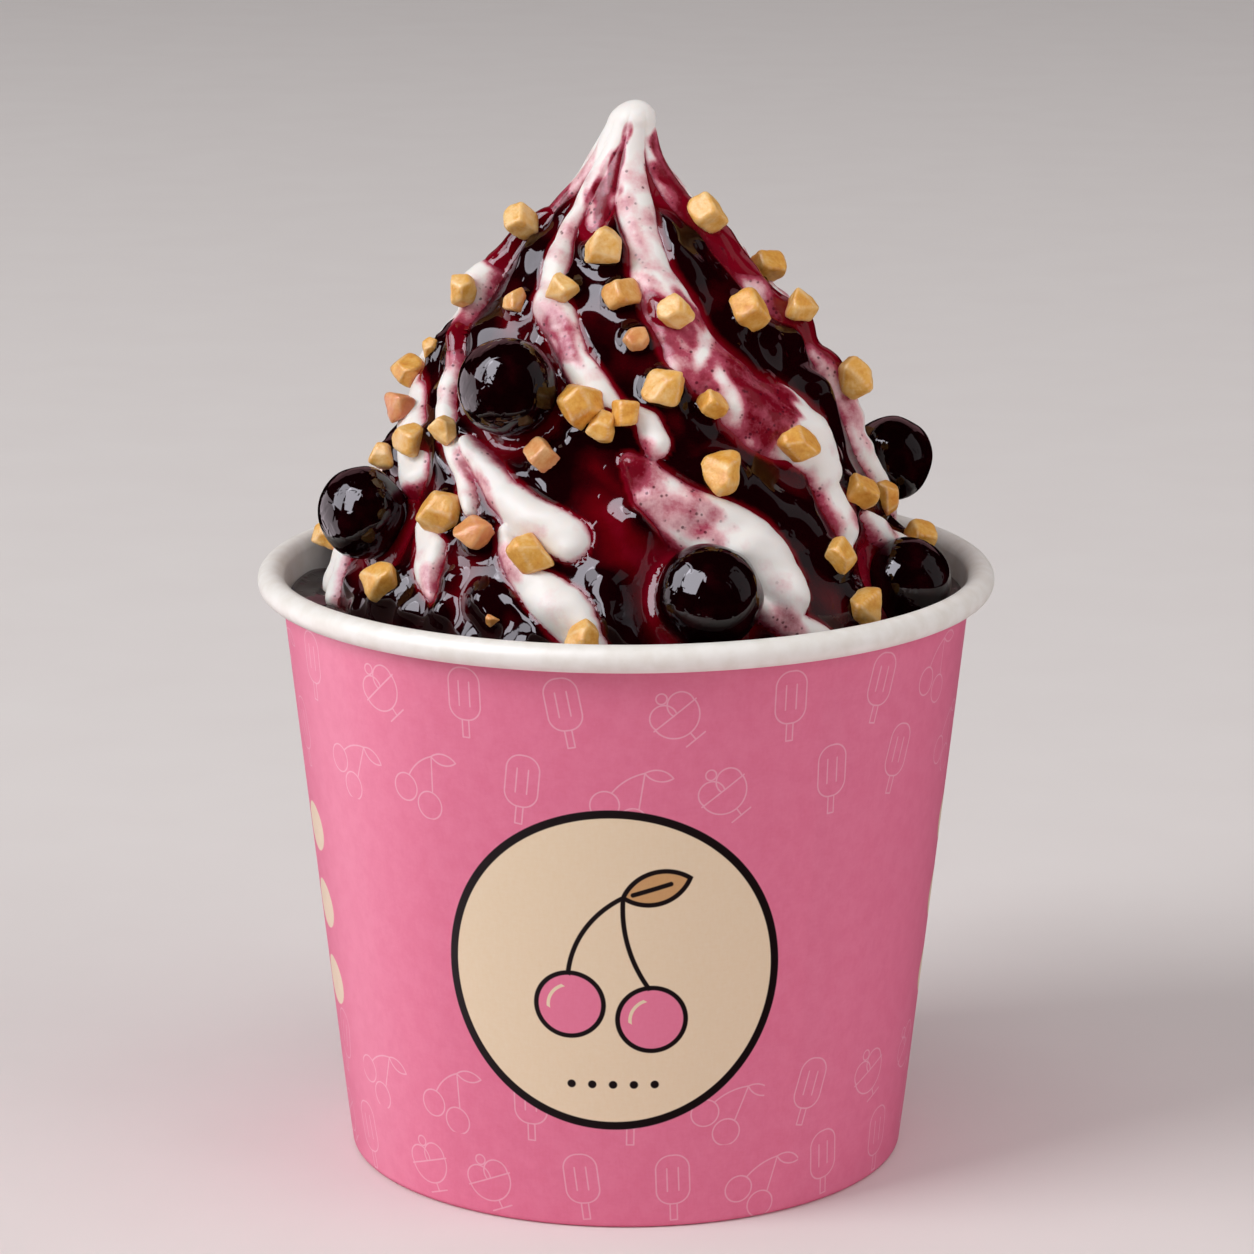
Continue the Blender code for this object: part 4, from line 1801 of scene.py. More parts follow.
    wipes: tuple[Patch, ...] = patches(
        (126.8, 25.4, 8.5, 2.4, -34, 0.95), (120.8, 28.6, 10, 2.8, 10, 0.92),
        (108.5, 11.5, 5, 3, 40, 0.7), (129, 77, 10, 2, 30, 0.4),
    )

    def cream(self, grid: SurfaceGrid) -> Array:
        """Rise of the ice cream.

        Args:
            grid: The places.

        Returns:
            Rise above the floor line.
        """
        shares = np.zeros(grid.shape)
        for fold in self.folds:
            np.maximum(shares, fold.rise(grid), out=shares)
        foot = self.form.foot_label
        shares *= smooth_step(grid.label, foot - 5, foot)[:, None]
        places = grid.lift(grid.depth[:, None])
        uneven = 0.10 * waves(places, 9, 5) + 0.03 * waves(places, 3.2, 6)
        return grid.depth[:, None] * (shares * (1 + 0.4 * uneven) + 0.8 * uneven)

    def sauce_level(self, grid: SurfaceGrid, cream: Array) -> Array:
        """Rise of the sauce's free surface, before it drapes over anything.

        Args:
            grid: The places.
            cream: Rise of the cream there.

        Returns:
            Rise above the floor line.
        """
        places = grid.lift(grid.depth[:, None])
        slow, quick = waves(places, 9.5, 11), waves(places, 5, 12)
        in_pool = 1 - smooth_step(grid.label, self.form.foot_label - 7, self.form.foot_label)[:, None]
        valley = grid.depth[:, None] * np.interp(grid.label, *zip(*self.valley_share))[:, None]
        wall_gap = (self.form.shelf_end - grid.radius)[:, None]
        level = valley * (1 - in_pool) + self.pool_level * in_pool
        calm = smooth_step(level - cream, -0.4, 1.2)
        ripple = grid.depth[:, None] * ((0.035 + 0.03 * calm) * slow + 0.006 * calm * quick)
        swell = (0.16 * slow + 0.03 * quick) * smooth_step(wall_gap, 0.5, 5)
        level = level + ripple * (1 - in_pool) + swell * in_pool
        level = level + self.climb * np.exp(-wall_gap / 0.7) * in_pool
        for lump in self.lumps:
            level = level + lump.bulge(grid)
        for bead in self.beads():
            level = level + bead.bulge(grid) * calm * (1 - 0.5 * in_pool)
        return level

    def beads(self) -> list[Patch]:
        """Small round swellings of the sauce, strewn all round.

        Returns:
            One patch for each.
        """
        random = np.random.default_rng(self.bead_seed)
        found = []
        for _ in range(self.bead_count):
            height = 87 + 62 * random.uniform(0, 1) ** 1.4
            size = random.uniform(3.2, 5.6)
            found.append(Patch(
                height, random.uniform(-180, 180), size * random.uniform(1, 1.5), size,
                random.uniform(20, 70), random.uniform(0.3, 0.5) * size * 0.5,
            ))
        return found

    def sauce(self, grid: SurfaceGrid, cream: Array, guests: list[Ball]) -> Array:
        """Thickness of the sauce above the cream, negative where it is hidden under it.

        Args:
            grid: The places.
            cream: Rise of the cream there.
            guests: Centres and radii of what sits in the sauce, which draws it up a little.

        Returns:
            Thickness in millimetres, with rounded edges.
        """
        level = self.sauce_level(grid, cream)
        places = grid.lift(level)
        for centre, radius in guests:
            gap = np.maximum(np.linalg.norm(places - centre, axis=-1) - radius, 0)
            dip = self.dip * smooth_step(np.array(radius), 4, 5)
            level = level - dip * np.exp(-((gap / 3.4) ** 2))
            level = level + self.draw * np.exp(-((gap / 0.8) ** 2))
        raw = level - cream
        ragged = waves(places, 4.2, 14)
        for spill in self.spills:
            edge = spill.edge(grid) + 0.16 * ragged
            raw = np.maximum(raw, spill.strength * (1 - np.minimum(edge, 2) ** 2))
        over = np.maximum(raw, 0)
        return np.where(raw > 0, np.sqrt(over * (over + 2 * self.lip)), np.maximum(raw, -2))

    def run_depth(self, thickness: Array) -> Array:
        """Depth of the sauce as its colour shows it, without the rounding of its edge."""
        return np.sqrt(np.maximum(thickness, 0) ** 2 + self.lip**2) - self.lip

    def clarity(self, grid: SurfaceGrid) -> Array:
        """How much light comes through the sauce, in millimetres taken off its seen depth.

        Args:
            grid: The places.

        Returns:
            Millimetres, for every row and column.
        """
        clear = np.zeros(grid.shape)
        for clearing in self.clearings:
            np.maximum(clear, clearing.bulge(grid, 1), out=clear)
        return clear

    def stain(self, grid: SurfaceGrid, thickness: Array) -> Array:
        """How far the cream is stained, from 0 for clean to 1 for wine red.

        Args:
            grid: The places.
            thickness: The sauce's thickness there.

        Returns:
            Stain, for every row and column.
        """
        clouds = waves(grid.lift(grid.depth[:, None]), 4.6, 22)
        clean = np.maximum(-thickness, 0)
        spread = np.interp(grid.label, *zip(*self.fringe_width))[:, None] * (1 + 0.4 * clouds)
        below_tip = smooth_step(-grid.label, -155.8, -152)[:, None]
        fringe = 0.97 * np.exp(-clean / np.maximum(spread, 0.04)) * below_tip
        smeared = np.zeros_like(thickness)
        for number, smear in enumerate(self.smears):
            streaks = smear.streaks(grid, number)
            edge = smear.edge(grid) + 0.2 * clouds + 0.2 * streaks
            cover = smear.strength * (1 - smooth_step(edge, 0.6, 1.1)) * (0.92 + 0.22 * streaks)
            np.maximum(smeared, cover, out=smeared)
        for wipe in self.wipes:
            edge = wipe.edge(grid) + 0.12 * clouds
            smeared *= 1 - wipe.strength * (1 - smooth_step(edge, 0.5, 1.2))
        return softened(np.clip(np.maximum(fringe, smeared) + 0.25 * np.minimum(fringe, smeared), 0, 1))


@dataclass
class SoftServe:
    """Ice cream from the base disc up through the tub and on to the swirl's tip."""

    tub: Tub
    form: SwirlForm
    relief: Relief
    rows: int = 222
    columns: int = 416
    floor: float = 6.6
    body_heights: tuple[float, ...] = (80.9, 54, 30, 6.6)
    into_wall: float = 0.12
    tip_rise: float = 0.02

    def build(self) -> Object:
        """Make and dress the ice cream.

        Returns:
            The piece.
        """
        grid = self.form.grid(self.rows, self.columns)
        cream = self.relief.cream(grid)
        thickness = self.relief.sauce(grid, cream, [])
        swirl = grid.lift(cream)
        body = []
        for height in self.body_heights:
            radius = self.tub.inside(height) + self.into_wall
            x, y = radius * np.sin(grid.bearing), -radius * np.cos(grid.bearing)
            body.append(np.stack((x, y, np.full(self.columns, height)), axis=-1))
        points = np.concatenate((swirl, np.stack(body)))
        ends = (swirl[0].mean(axis=0) + (0, 0, self.tip_rise), (0, 0, self.floor))
        faces = closed_faces(len(points), self.columns)
        mesh = mesh_of("soft_serve_swirl", np.concatenate((points.reshape(-1, 3), ends)), faces)
        stain = self.relief.stain(grid, thickness)
        clean = np.zeros(len(body) * self.columns + len(ends))
        store(mesh, "stain", "FLOAT", np.concatenate((stain.ravel(), clean)))
        mesh.materials.append(CreamFinish("soft_serve_cream").make())
        return add_piece("soft_serve_swirl", mesh, Slot.ICE_CREAM, "soft_serve")


@dataclass
class SauceCoat:
    """Cherry sauce that fills the valleys between the folds and pools round the swirl's foot."""

    form: SwirlForm
    relief: Relief
    guests: list[Ball]
    rows: int = 186
    columns: int = 368
    hidden: float = 0.3
    sole: float = 0.35
    grid: SurfaceGrid = field(init=False)
    cream: Array = field(init=False)

    def __post_init__(self) -> None:
        """Lay out the grid and the cream under the sauce."""
        self.grid = self.form.grid(self.rows, self.columns)
        self.cream = self.relief.cream(self.grid)

    def thickness(self) -> Array:
        """The sauce's thickness above the cream."""
        return self.relief.sauce(self.grid, self.cream, self.guests)

    @staticmethod
    def without_pinches(cells: Array) -> Array:
        """Fill cells so that no two of them touch at a corner only.

        Args:
            cells: Whether each cell is filled.

        Returns:
            The same with more cells filled.
        """
        cells = cells.copy()
        while True:
            upper, lower = cells[:-1], cells[1:]
            upper_right, lower_right = np.roll(upper, -1, axis=1), np.roll(lower, -1, axis=1)
            falling = upper & lower_right & ~upper_right & ~lower
            rising = upper_right & lower & ~upper & ~lower_right
            pinched = falling | rising
            if not pinched.any():
                return cells
            cells[:-1] |= pinched
            cells[1:] |= pinched
            cells[:-1] |= np.roll(pinched, 1, axis=1)
            cells[1:] |= np.roll(pinched, 1, axis=1)

    def build(self) -> Object:
        """Make and dress the sauce as closed patches with a top, a sole and an edge between them.

        Returns:
            The piece.
        """
        grid, cream, thickness = self.grid, self.cream, self.thickness()
        top = grid.lift(cream + thickness)
        bottom = grid.lift(np.minimum(cream, cream + thickness) - self.sole)
        shown = thickness > -self.hidden
        corners = (shown[:-1], shown[1:], np.roll(shown, -1, axis=1)[:-1], np.roll(shown, -1, axis=1)[1:])
        cells = self.without_pinches(corners[0] | corners[1] | corners[2] | corners[3])
        quads = grid_faces(self.rows, self.columns)
        under = self.rows * self.columns
        beyond = np.zeros((1, self.columns), bool)
        bare = {
            (0, 1): ~np.roll(cells, 1, axis=1),
            (1, 2): ~np.concatenate((cells[1:], beyond)),
            (2, 3): ~np.roll(cells, -1, axis=1),
            (3, 0): ~np.concatenate((beyond, cells[:-1])),
        }
        faces = [quads[cells], quads[cells][:, ::-1] + under]
        for (first, second), open_side in bare.items():
            edge = quads[cells & open_side]
            sides = (edge[:, second], edge[:, first], edge[:, first] + under, edge[:, second] + under)
            faces.append(np.stack(sides, axis=-1))
        joined = np.concatenate(faces)
        used, renumbered = np.unique(joined, return_inverse=True)
        points = np.concatenate((top.reshape(-1, 3), bottom.reshape(-1, 3)))[used]
        mesh = mesh_of("cherry_sauce_coat", points, renumbered.reshape(-1, 4).tolist())
        depth = self.relief.run_depth(thickness) - self.relief.clarity(grid)
        store(mesh, "depth", "FLOAT", np.tile(depth.ravel(), 2)[used])
        mesh.materials.append(SauceFinish("cherry_sauce_gloss").make())
        return add_piece("cherry_sauce_coat", mesh, Slot.SAUCE, "sauce_pool")


# ---------------- cherries


@dataclass
class Cherries:
    """Whole dark cherries, each where its CAD node lies, with the pit of its stalk turned inwards."""

    rings: int = 44
    segments: int = 80
    squash: float = 0.03
    pit: float = 0.13
    pit_width: float = 24
    pit_tilt: float = 55
    unevenness: float = 0.10
    syrup: float = 1.035

    def places(self) -> list[tuple[str, Array, float]]:
        """Name, centre and radius of every cherry in the frame, in millimetres.

        Returns:
            One entry for each cherry.
        """
        found = []
        for name in sorted(node for node in frame["nodes"] if node.startswith("cherry_")):
            low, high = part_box(name)
            centre = np.array((low + high) / 2) / MM
            found.append((name, centre, max(high - low) / 2 / MM * self.syrup))
        return found

    def mesh(self, name: str, centre: Array, radius: float, seed: int) -> Mesh:
        """One cherry's closed skin.

        Args:
            name: The mesh's name.
            centre: Middle of the cherry.
            radius: Its radius.
            seed: Picks its unevenness.

        Returns:
            The mesh.
        """
        unit = ball_points(self.rings, self.segments)
        angle = np.arccos(np.clip(unit[:, 2], -1, 1))
        dent = self.pit * np.exp(-((angle / math.radians(self.pit_width)) ** 2))
        size = radius * (1 - dent) + self.unevenness * waves(unit * radius + 17 * seed, 6, seed)
        points = unit * size[:, None] * np.array((1, 1, 1 - self.squash))
        bearing = math.atan2(centre[0], -centre[1])
        inwards = Vector((-math.sin(bearing), math.cos(bearing), 0))
        tilt = math.radians(self.pit_tilt)
        stalk = inwards * math.sin(tilt) + Vector((0, 0, math.cos(tilt)))
        turn = np.array(Vector((0, 0, 1)).rotation_difference(stalk).to_matrix())
        points = points @ turn.T + centre
        return mesh_of(name, points, closed_faces(self.rings, self.segments))

    def build(self) -> list[Object]:
        """Make and dress every cherry.

        Returns:
            The pieces.
        """
        skin = CherryFinish("dark_cherry_skin").make()
        pieces = []
        for seed, (node, centre, radius) in enumerate(self.places(), start=1):
            mesh = self.mesh(node + "_fruit", centre, radius, seed)
            mesh.materials.append(skin)
            pieces.append(add_piece(node + "_fruit", mesh, Slot.CHERRY, node))
        return pieces


# ---------------- the photograph's view


@dataclass(frozen=True)
class View:
    """The camera: it looks down on the tub from the front, from about 0.7 m away."""

    distance: float = 698.2
    pitch: float = 13.64
    aim_height: float = 79.83
    aim_side: float = 0.14
    focal_pixels: float = 4650.5
    frame_pixels: float = 1254
    sensor: float = 36

    @property
    def eye(self) -> Array:
        """Place of the camera."""
        back, up = (self.distance * turn(math.radians(self.pitch)) for turn in (math.cos, math.sin))
        return np.array((self.aim_side, -back, self.aim_height + up))

    def ray(self, pixel_x: float, pixel_y: float) -> Array:
        """Unit direction from the camera through a pixel of the square frame.

        Args:
            pixel_x: Pixels from the left.
            pixel_y: Pixels from the top.

        Returns:
            The direction.
        """
        pitch = math.radians(self.pitch)
        ahead = np.array((0, math.cos(pitch), -math.sin(pitch)))
        up = np.array((0, math.sin(pitch), math.cos(pitch)))
        half = self.frame_pixels / 2
        way = ahead * self.focal_pixels + np.array((1, 0, 0)) * (pixel_x - half) - up * (pixel_y - half)
        return way / np.linalg.norm(way)

    def make_camera(self) -> Object:
        """Create the camera and make it the scene's own.

        Returns:
            The camera.
        """
        data = bpy.data.cameras.new("view_camera")
        data.lens = self.sensor * self.focal_pixels / self.frame_pixels
        data.sensor_width = self.sensor
        data.clip_start = 0.01
        data.clip_end = 50
        camera = shown("view_camera", data)
        camera.location = Vector(self.eye * MM)
        camera.rotation_euler = (math.radians(90 - self.pitch), 0, 0)
        bpy.context.scene.camera = camera
        return camera


# ---------------- chopped nuts


@dataclass(frozen=True)
class NutPlace:
    """One nut seen in the photograph: its pixel, its size across in pixels, and its look.

    Beyond marks a nut that lies past the swirl's widest place, as seen from the camera.
    """

    pixel_x: float
    pixel_y: float
    pixels: float
    kernel: int = -1
    roast: float = 0.45
    blush: float = 0
    beyond: bool = False


@dataclass(frozen=True)
class Nut:
    """One nut as it lies: its middle, its scale, its kernel, its turn, and its look."""

    centre: Array
    size: float
    kernel: int
    turn: Array
    roast: float
    blush: float


@dataclass
class ChoppedNuts:
    """Pieces of chopped nut, pressed a little into the sauce and the cream."""

    view: View
    surface: BVHTree
    keep_clear: list[Ball]
    wall: float = 50.6
    pixel_size: float = 0.149
    sink: float = 0.25
    kernel_count: int = 11
    blocky: int = 3
    kernel_rings: int = 22
    golden_turn: float = 2.39996
    back_count: int = 40
    back_tries: int = 6000
    back_spacing: float = 7.5
    seed: int = 41
    kernels: list[Mesh] = field(default_factory=list)

    seen: tuple[NutPlace, ...] = tuple(NutPlace(*row) for row in (
        (522, 221, 37, 0, 0.25), (708, 213, 42, 0, 0.35), (603, 247, 38, 4, 0.3), (768, 265, 36, 2, 0.6),
        (463, 290, 30, 3, 0.4), (516, 302, 27, 5, 0.4, 0.35), (561, 290, 33, 4, 0.3),
        (622, 294, 36, 2, 0.45, 0.35), (676, 312, 36, 6, 0.3), (750, 310, 43, 1, 0.6),
        (800, 306, 34, 5, 0.45, 0.15), (636, 339, 28, 7, 0.4, 0.55), (407, 371, 35, 8, 0.55),
        (433, 347, 22, 3, 0.4), (854, 377, 40, 3, 0.5), (400, 406, 31, 5, 0.5, 0.7),
        (581, 406, 45, 3, 0.65), (602, 427, 32, 7, 0.5), (627, 414, 27, 4, 0.6), (665, 388, 38, 6, 0.45),
        (713, 404, 31, 2, 0.55), (410, 438, 32, 9, 0.4), (445, 430, 29, 3, 0.3), (383, 457, 30, 7, 0.35),
        (799, 446, 40, 8, 0.65), (542, 455, 36, 1, 0.35, 0.55), (722, 475, 41, 9, 0.5),
        (440, 512, 47, 3, 0.55), (475, 533, 36, 6, 0.45, 0.6), (531, 556, 44, 8, 0.5),
        (861, 491, 38, 2, 0.6), (886, 497, 34, 3, 0.7), (318, 532, 32, 3, 0.4, 0, True),
        (923, 532, 34, 1, 0.55), (840, 555, 34, 6, 0.5), (382, 580, 41, 4, 0.45, 0.12),
        (864, 608, 38, 7, 0.5), (583, 640, 36, 3, 0.5), (492, 620, 14, 5, 0.6, 0.4),
    ))

    def cuts(self, number: int, random: np.random.Generator) -> tuple[Array, Array, float]:
        """The flat faces that cut one kernel: their directions, their distances and their sharpness.

        Args:
            number: The kernel's number.
            random: Its source of chance.

        Returns:
            The three.
        """
        if number < self.blocky:
            cuts = np.concatenate((np.eye(3), -np.eye(3))) + random.normal(0, 0.08, (6, 3))
            reach = 0.5 * np.array((1.05, 0.9, 0.82, 1.05, 0.9, 0.82)) * random.uniform(0.92, 1.08, 6)
            return cuts, reach, 14
        count = 8 + number % 4
        step = np.arange(count) + 0.5
        level = 1 - 2 * step / count
        spin = step * self.golden_turn + random.uniform(0, TAU)
        side = np.sqrt(1 - level**2)
        cuts = np.stack((side * np.cos(spin), side * np.sin(spin), level), axis=-1)
        cuts += random.normal(0, 0.22, cuts.shape)
        return cuts, random.uniform(0.4, 0.52, count), 9 + 1.5 * (number % 4)

    def kernel(self, number: int) -> Mesh:
        """A soft-edged lump cut by flat faces, one unit across, with its edges marked.

        Args:
            number: Picks its shape.

        Returns:
            The mesh.
        """
        cuts, reach, hardness = self.cuts(number, np.random.default_rng(self.seed + number))
        cuts /= np.linalg.norm(cuts, axis=1)[:, None]
        unit = ball_points(self.kernel_rings, 2 * self.kernel_rings)
        facing = np.maximum(unit @ cuts.T, 0) / reach
        size = np.minimum((facing**hardness).sum(axis=1) ** (-1 / hardness), 0.7)
        size *= 1 + 0.025 * waves(unit, 0.9, self.seed + 7 * number)
        size *= 1 + 0.008 * waves(unit, 0.3, self.seed + 7 * number + 1)
        points = unit * size[:, None]
        faces = closed_faces(self.kernel_rings, 2 * self.kernel_rings)
        mesh = mesh_of(f"kernel_{number:02d}", points / np.ptp(points, axis=0).mean() / MM, faces)
        ranked = np.sort(facing, axis=1)
        # The edge mask feeds the painted highlight along the nut's edges.
        store(mesh, "edge", "FLOAT", smooth_step(ranked[:, -2] / ranked[:, -1], 0.86, 0.99))
        return mesh

    def height_over(self, point: Array) -> tuple[float, Array]:
        """How far a point lies outside the surface, negative inside, and the normal next to it.

        Args:
            point: The point.

        Returns:
            The distance and the normal.
        """
        near, normal, _, gap = self.surface.find_nearest(Vector(point))
        side = (Vector(point) - near).dot(normal)
        return (gap if side > 0 else -gap), np.array(normal)

    def rest(self, nut: NutPlace) -> tuple[Array, float]:
        """Where a nut of the photograph lies on what its pixel's ray meets, and its size.

        Args:
            nut: The nut as it is seen.

        Returns:
            Its middle and its size.
        """
        size = nut.pixels * self.pixel_size
        wanted = size * (0.5 - self.sink)
        way = self.view.ray(nut.pixel_x, nut.pixel_y)
        best = None
        depths = np.arange(self.view.distance - 70, self.view.distance + 45, 0.5)
        for depth in depths[::-1] if nut.beyond else depths:
            point = self.view.eye + way * depth
            if math.hypot(point[0], point[1]) > self.wall - 0.4 * size:
                continue
            height, normal = self.height_over(point)
            if best is None or height < best[0]:
                best = (height, point, normal)
            if height <= wanted:
                break
        height, point, normal = best
        return point - normal * max(0, height - wanted * 1.1), size

    def hidden(self, centre: Array, size: float) -> bool:
        """Whether the swirl hides all of a nut from the camera.

        Args:
            centre: The nut's middle.
            size: Its size.

        Returns:
            Whether no ray past its outline reaches it.
        """
        eye = self.view.eye
        for right, up in ((1, 0), (-1, 0), (0, 1), (0.7, 0.7), (-0.7, 0.7)):
            way = centre + 0.62 * size * np.array((right, 0, up)) - eye
            reach = np.linalg.norm(way)
            point, _, _, gap = self.surface.ray_cast(Vector(eye), Vector(way / reach))
            if point is None or gap > reach:
                return False
        return True

    def entry(
        self, centre: Array, size: float, kernel: int, roast: float, blush: float,
        random: np.random.Generator,
    ) -> Nut:
        """One nut, turned at random and as large across as it is seen.

        Args:
            centre: Its middle.
            size: Its size across as seen.
            kernel: Number of its kernel.
            roast: How brown it is.
            blush: How pink it is.
            random: Source of chance.

        Returns:
            The nut.
        """
        turn = random.uniform(-math.pi, math.pi, 3)
        if kernel < self.blocky:
            turn = random.uniform(-0.35, 0.35, 3) + np.array((0.62, 0.42, 0.75))
        turned = read_back(self.kernels[kernel]) @ np.array(Euler(turn).to_matrix()).T
        seen = np.ptp(turned, axis=0)
        return Nut(centre, size / (0.5 * (seen[0] + seen[2])), kernel, turn, roast, blush)

    def back_place(self, random: np.random.Generator, taken: list[Nut]) -> Nut | None:
        """Try one nut on the sides that the photograph doesn't show.

        Args:
            random: Source of chance.
            taken: The nuts that lie already.

        Returns:
            The nut, or None where it has no room or would show from the front.
        """
        bearing = math.radians(random.uniform(82, 278))
        height = 88 + 58 * random.uniform(0, 1) ** 1.25
        way = Vector((-math.sin(bearing), math.cos(bearing), -0.35)).normalized()
        point, normal, _, _ = self.surface.ray_cast(Vector((0, 0, height)) - way * 90, way)
        size = random.uniform(4, 6.4)
        if point is None:
            return None
        centre = np.array(point) + np.array(normal) * size * (0.5 - self.sink)
        if min(np.linalg.norm(centre - nut.centre) for nut in taken) < self.back_spacing:
            return None
        if any(np.linalg.norm(centre - fruit) < radius + 0.45 * size for fruit, radius in self.keep_clear):
            return None
        if not self.hidden(centre, size):
            return None
        kernel = int(random.integers(0, self.kernel_count))
        blush = max(0, random.uniform(-0.9, 0.7))
        return self.entry(centre, size, kernel, random.uniform(0.2, 0.7), blush, random)

    def places(self) -> list[Nut]:
        """Every nut: those of the photograph, and then those strewn over the sides it doesn't show.

        Returns:
            The nuts.
        """
        self.kernels = [self.kernel(number) for number in range(self.kernel_count)]
        random = np.random.default_rng(self.seed)
        found = [self.entry(*self.rest(nut), nut.kernel, nut.roast, nut.blush, random) for nut in self.seen]
        for _ in range(self.back_tries):
            nut = self.back_place(random, found)
            found += [nut] if nut else []
            if len(found) == len(self.seen) + self.back_count:
                break
        return found

    def recipe(self) -> Recipe:
        """Set a kernel on every point, turned and sized as the point says.

        Returns:
            A recipe that starts from the nuts' middles.
        """
        recipe = Recipe("strewn_nuts")
        sheet = recipe.sheet
        kernels, scale = recipe.input("Kernels", "Collection"), recipe.input("Scale", "Float")
        material = recipe.input("Nut", "Material")
        values = {"Collection": kernels, "Separate Children": True, "Reset Children": True}
        shapes = sheet.add("GeometryNodeCollectionInfo", None, values)
        turn = sheet.add("FunctionNodeEulerToRotation", None, {0: recipe.held("turn", "FLOAT_VECTOR")})
        size = recipe.held("size") * scale
        values = {
            "Points": recipe.source.out("Geometry"), "Instance": shapes, "Pick Instance": True,
            "Instance Index": recipe.held("kernel", "INT"), "Rotation": turn,
            "Scale": sheet.vector(size, size, size),
        }
        strewn = sheet.add("GeometryNodeInstanceOnPoints", None, values)
        real = sheet.add("GeometryNodeRealizeInstances", None, {"Geometry": strewn})
        smooth = sheet.add("GeometryNodeSetShadeSmooth", None, {"Geometry": real})
        recipe.finish(recipe.dress(smooth, material))
        return recipe

    def build(self, nuts: list[Nut]) -> Object:
        """Make and dress the nuts as one piece.

        Args:
            nuts: The nuts as they lie.

        Returns:
            The piece.
        """
        collection = bpy.data.collections.new("nut_kernels")
        for mesh in self.kernels:
            collection.objects.link(bpy.data.objects.new(mesh.name, mesh))
        start = bpy.data.meshes.new("nut_points")
        start.from_pydata((np.array([nut.centre for nut in nuts]) * MM).tolist(), [], [])
        kinds = {"size": "FLOAT", "roast": "FLOAT", "blush": "FLOAT", "kernel": "INT", "turn": "FLOAT_VECTOR"}
        for name, kind in kinds.items():
            store(start, name, kind, np.array([getattr(nut, name) for nut in nuts]))
        values = {"Kernels": collection, "Scale": MM, "Nut": NutFinish("roasted_nut").make()}
        mesh = self.recipe().bake("chopped_nuts", start, values)
        self.stain(mesh)
        for shape in list(collection.objects):
            bpy.data.objects.remove(shape)
        bpy.data.collections.remove(collection)
        return add_piece("chopped_nuts", mesh, Slot.NUT)

    def stain(self, mesh: Mesh) -> None:
        """Mark how close each point of the nuts is to the sauce, and which nuts are pink all over.

        Args:
            mesh: The joined nuts.
        """
        blush = np.zeros(len(mesh.vertices), np.float32)
        mesh.attributes["blush"].data.foreach_get("value", blush)
        gaps = np.array([max(0, self.height_over(point)[0]) for point in read_back(mesh) / MM])
        store(mesh, "stain", "FLOAT", np.clip(0.9 * np.exp(-gaps / 0.45) + blush, 0, 1))


# ---------------- studio


class Reach(Enum):
    """What a lamp does: it lights surfaces, or it only shows as a reflection in glossy ones."""

    LIGHT = "light"
    GLOSS = "gloss"


@dataclass(frozen=True)
class Panel:
    """One soft lamp. Its azimuth is a bearing from the front, and it looks at the swirl."""

    name: str
    reach: Reach
    azimuth: float
    elevation: float
    distance: float
    width: float
    height: float
    radiance: float
    colour: Colour = (1, 1, 1)

    def hang(self, centre: Vector) -> Object:
        """Put the lamp up, aimed at a point given in metres.

        Args:
            centre: The point.

        Returns:
            The lamp.
        """
        data = bpy.data.lights.new(self.name, "AREA")
        data.shape = "RECTANGLE"
        data.size, data.size_y = self.width, self.height
        data.energy = self.radiance * math.pi * self.width * self.height
        data.color = self.colour
        lamp = shown(self.name, data)
        bearing, rise = math.radians(self.azimuth), math.radians(self.elevation)
        level = math.cos(rise)
        way = Vector((math.sin(bearing) * level, -math.cos(bearing) * level, math.sin(rise)))
        lamp.location = centre + way * self.distance
        lamp.rotation_euler = (-way).to_track_quat("-Z", "Y").to_euler()
        lamp.visible_glossy = self.reach is Reach.GLOSS
        lamp.visible_diffuse = self.reach is Reach.LIGHT
        lamp.visible_camera = False
        return lamp


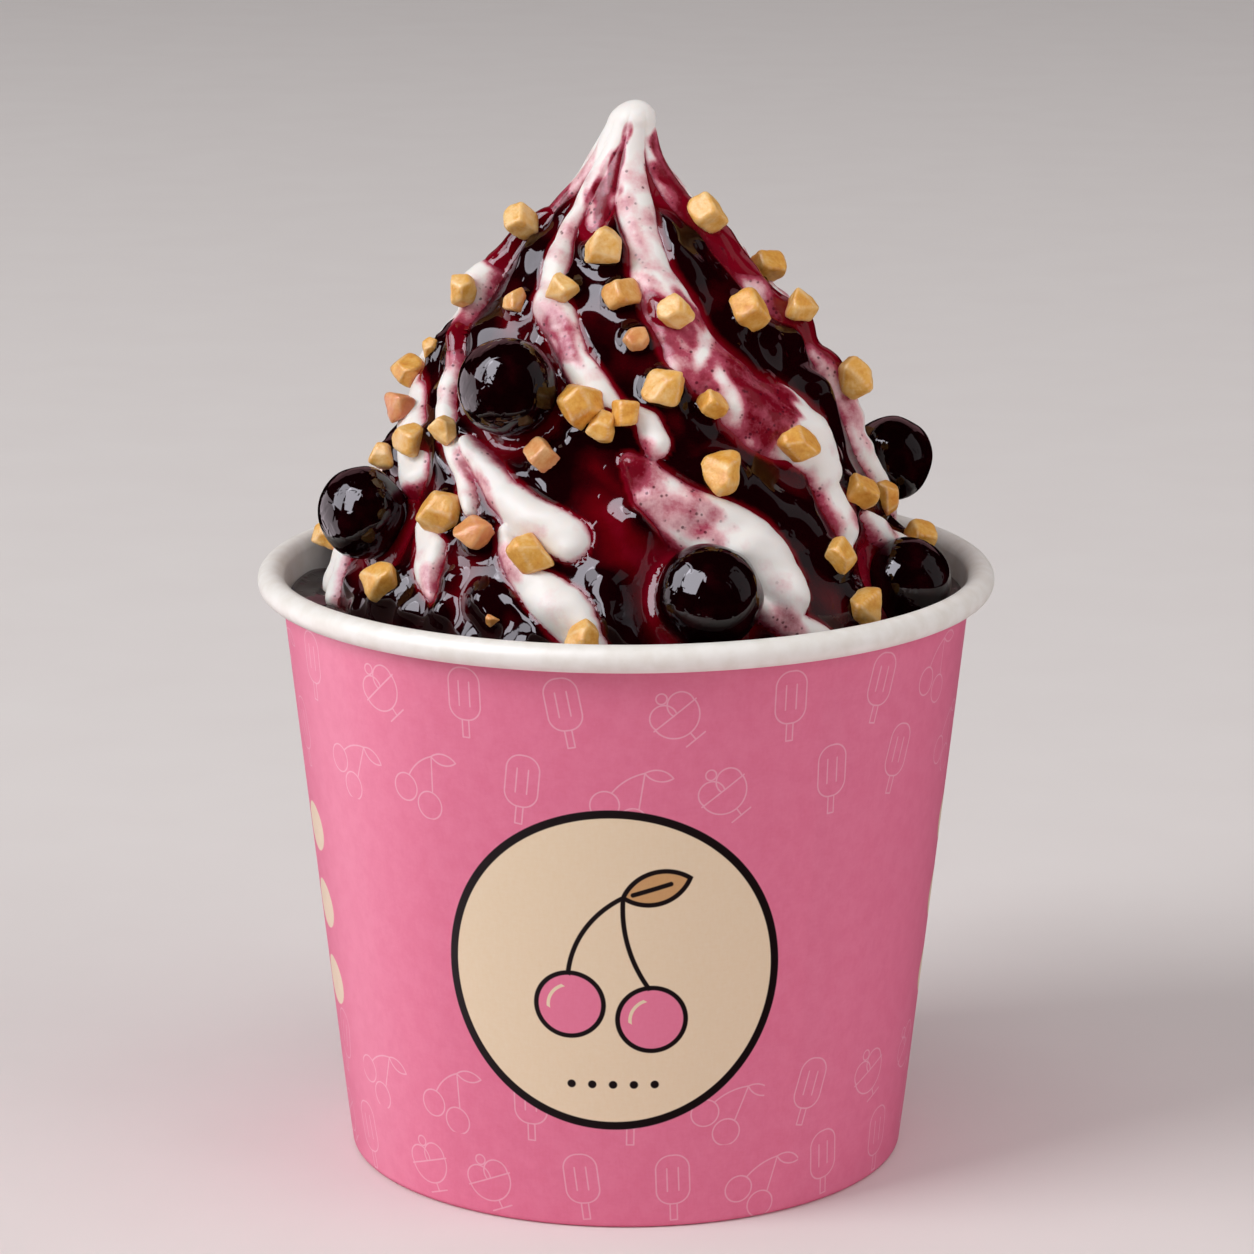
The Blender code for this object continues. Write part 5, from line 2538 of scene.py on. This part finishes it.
@dataclass
class Studio:
    """Pale floor, soft lights and an even grey surround."""

    floor_size: float = 12
    surround: float = 0.24
    aim_height: float = 0.11
    panels: tuple[Panel, ...] = (
        Panel("soft_key", Reach.LIGHT, -65, 35, 2.8, 1.5, 1.5, 7.4, (1, 0.995, 0.99)),
        Panel("soft_fill", Reach.LIGHT, 66, 22, 2.8, 2.1, 2.1, 1.8, (1, 0.93, 0.93)),
        Panel("soft_top", Reach.LIGHT, 20, 80, 2.8, 2.5, 2.5, 0.9, (1, 0.99, 0.98)),
        Panel("low_glow", Reach.LIGHT, 15, -62, 1, 1.4, 0.9, 0.75, (1, 0.36, 0.46)),
        Panel("left_pane_gloss", Reach.GLOSS, -77, 36, 1, 0.44, 0.95, 6.5, (0.93, 0.9, 1)),
        Panel("right_pane_gloss", Reach.GLOSS, -44, 40, 1, 0.4, 0.9, 9.5, (0.93, 0.9, 1)),
        Panel("left_sheen_gloss", Reach.GLOSS, -108, -10, 1.2, 1.1, 1, 2, (1, 0.86, 0.94)),
        Panel("back_sheen_gloss", Reach.GLOSS, 180, 30, 1.5, 2.4, 0.9, 0.4, (1, 0.5, 0.56)),
        Panel("side_gloss", Reach.GLOSS, 82, 22, 1.2, 0.8, 1.2, 0.36, (1, 0.94, 0.98)),
    )

    def floor(self) -> Object:
        """Lay the floor.

        Returns:
            The floor.
        """
        corners = np.array(((-1, -1, 0), (1, -1, 0), (1, 1, 0), (-1, 1, 0))) * self.floor_size / 2 / MM
        mesh = mesh_of("floor", corners, [(0, 1, 2, 3)], smooth=False)
        mesh.materials.append(FloorFinish("pale_floor").make())
        item = shown("floor", mesh)
        item.visible_glossy = False
        item.visible_shadow = False
        return item

    def build(self) -> None:
        """Set up floor, lights, surround and how tones are shown."""
        self.floor()
        for panel in self.panels:
            panel.hang(Vector((0, 0, self.aim_height)))
        world = bpy.data.worlds.new("surround")
        sheet = blank_sheet(world)
        values = {"Color": (1, 0.98, 0.98), "Strength": self.surround}
        sheet.add("ShaderNodeOutputWorld", None, {"Surface": sheet.add("ShaderNodeBackground", None, values)})
        world.cycles_visibility.glossy = False
        bpy.context.scene.world = world
        bpy.context.scene.view_settings.view_transform = "Standard"


# ---------------- the whole


@dataclass
class Sundae:
    """The tub, what fills it and what lies on top."""

    view: View = field(default_factory=View)
    tub: Tub = field(default_factory=Tub)
    form: SwirlForm = field(default_factory=SwirlForm)
    cherries: Cherries = field(default_factory=Cherries)

    def top_surface(self, coat: SauceCoat) -> BVHTree:
        """Outer surface of cream and sauce together, for resting things on.

        Args:
            coat: The coat of sauce.

        Returns:
            The surface, for casting rays at.
        """
        points = coat.grid.lift(coat.cream + np.maximum(coat.thickness(), 0)).reshape(-1, 3)
        faces = grid_faces(coat.rows, coat.columns).reshape(-1, 4)
        return BVHTree.FromPolygons(points.tolist(), faces.tolist())

    def build(self) -> list[Object]:
        """Build every piece, from the tub to the nuts.

        Returns:
            The pieces.
        """
        relief = Relief(self.form, front_folds() + back_folds())
        pieces = self.tub.build()
        pieces.append(SoftServe(self.tub, self.form, relief).build())
        fruit = [(centre, radius) for _, centre, radius in self.cherries.places()]
        coat = SauceCoat(self.form, relief, fruit)
        chopped = ChoppedNuts(self.view, self.top_surface(coat), fruit)
        nuts = chopped.places()
        coat.guests = fruit + [(nut.centre, 0.5 * nut.size) for nut in nuts]
        pieces.append(coat.build())
        pieces += self.cherries.build()
        pieces.append(chopped.build(nuts))
        return pieces


def main() -> None:
    """Build the sundae, its studio and the camera, and report each piece."""
    logging.basicConfig(level=logging.INFO, format="%(name)s %(message)s")
    sundae = Sundae()
    for piece in sundae.build():
        triangles = sum(len(face.vertices) - 2 for face in piece.data.polygons)
        LOG.info("%s: %d triangles", piece.name, triangles)
    Studio().build()
    sundae.view.make_camera()


if __name__ == "__main__":
    main()
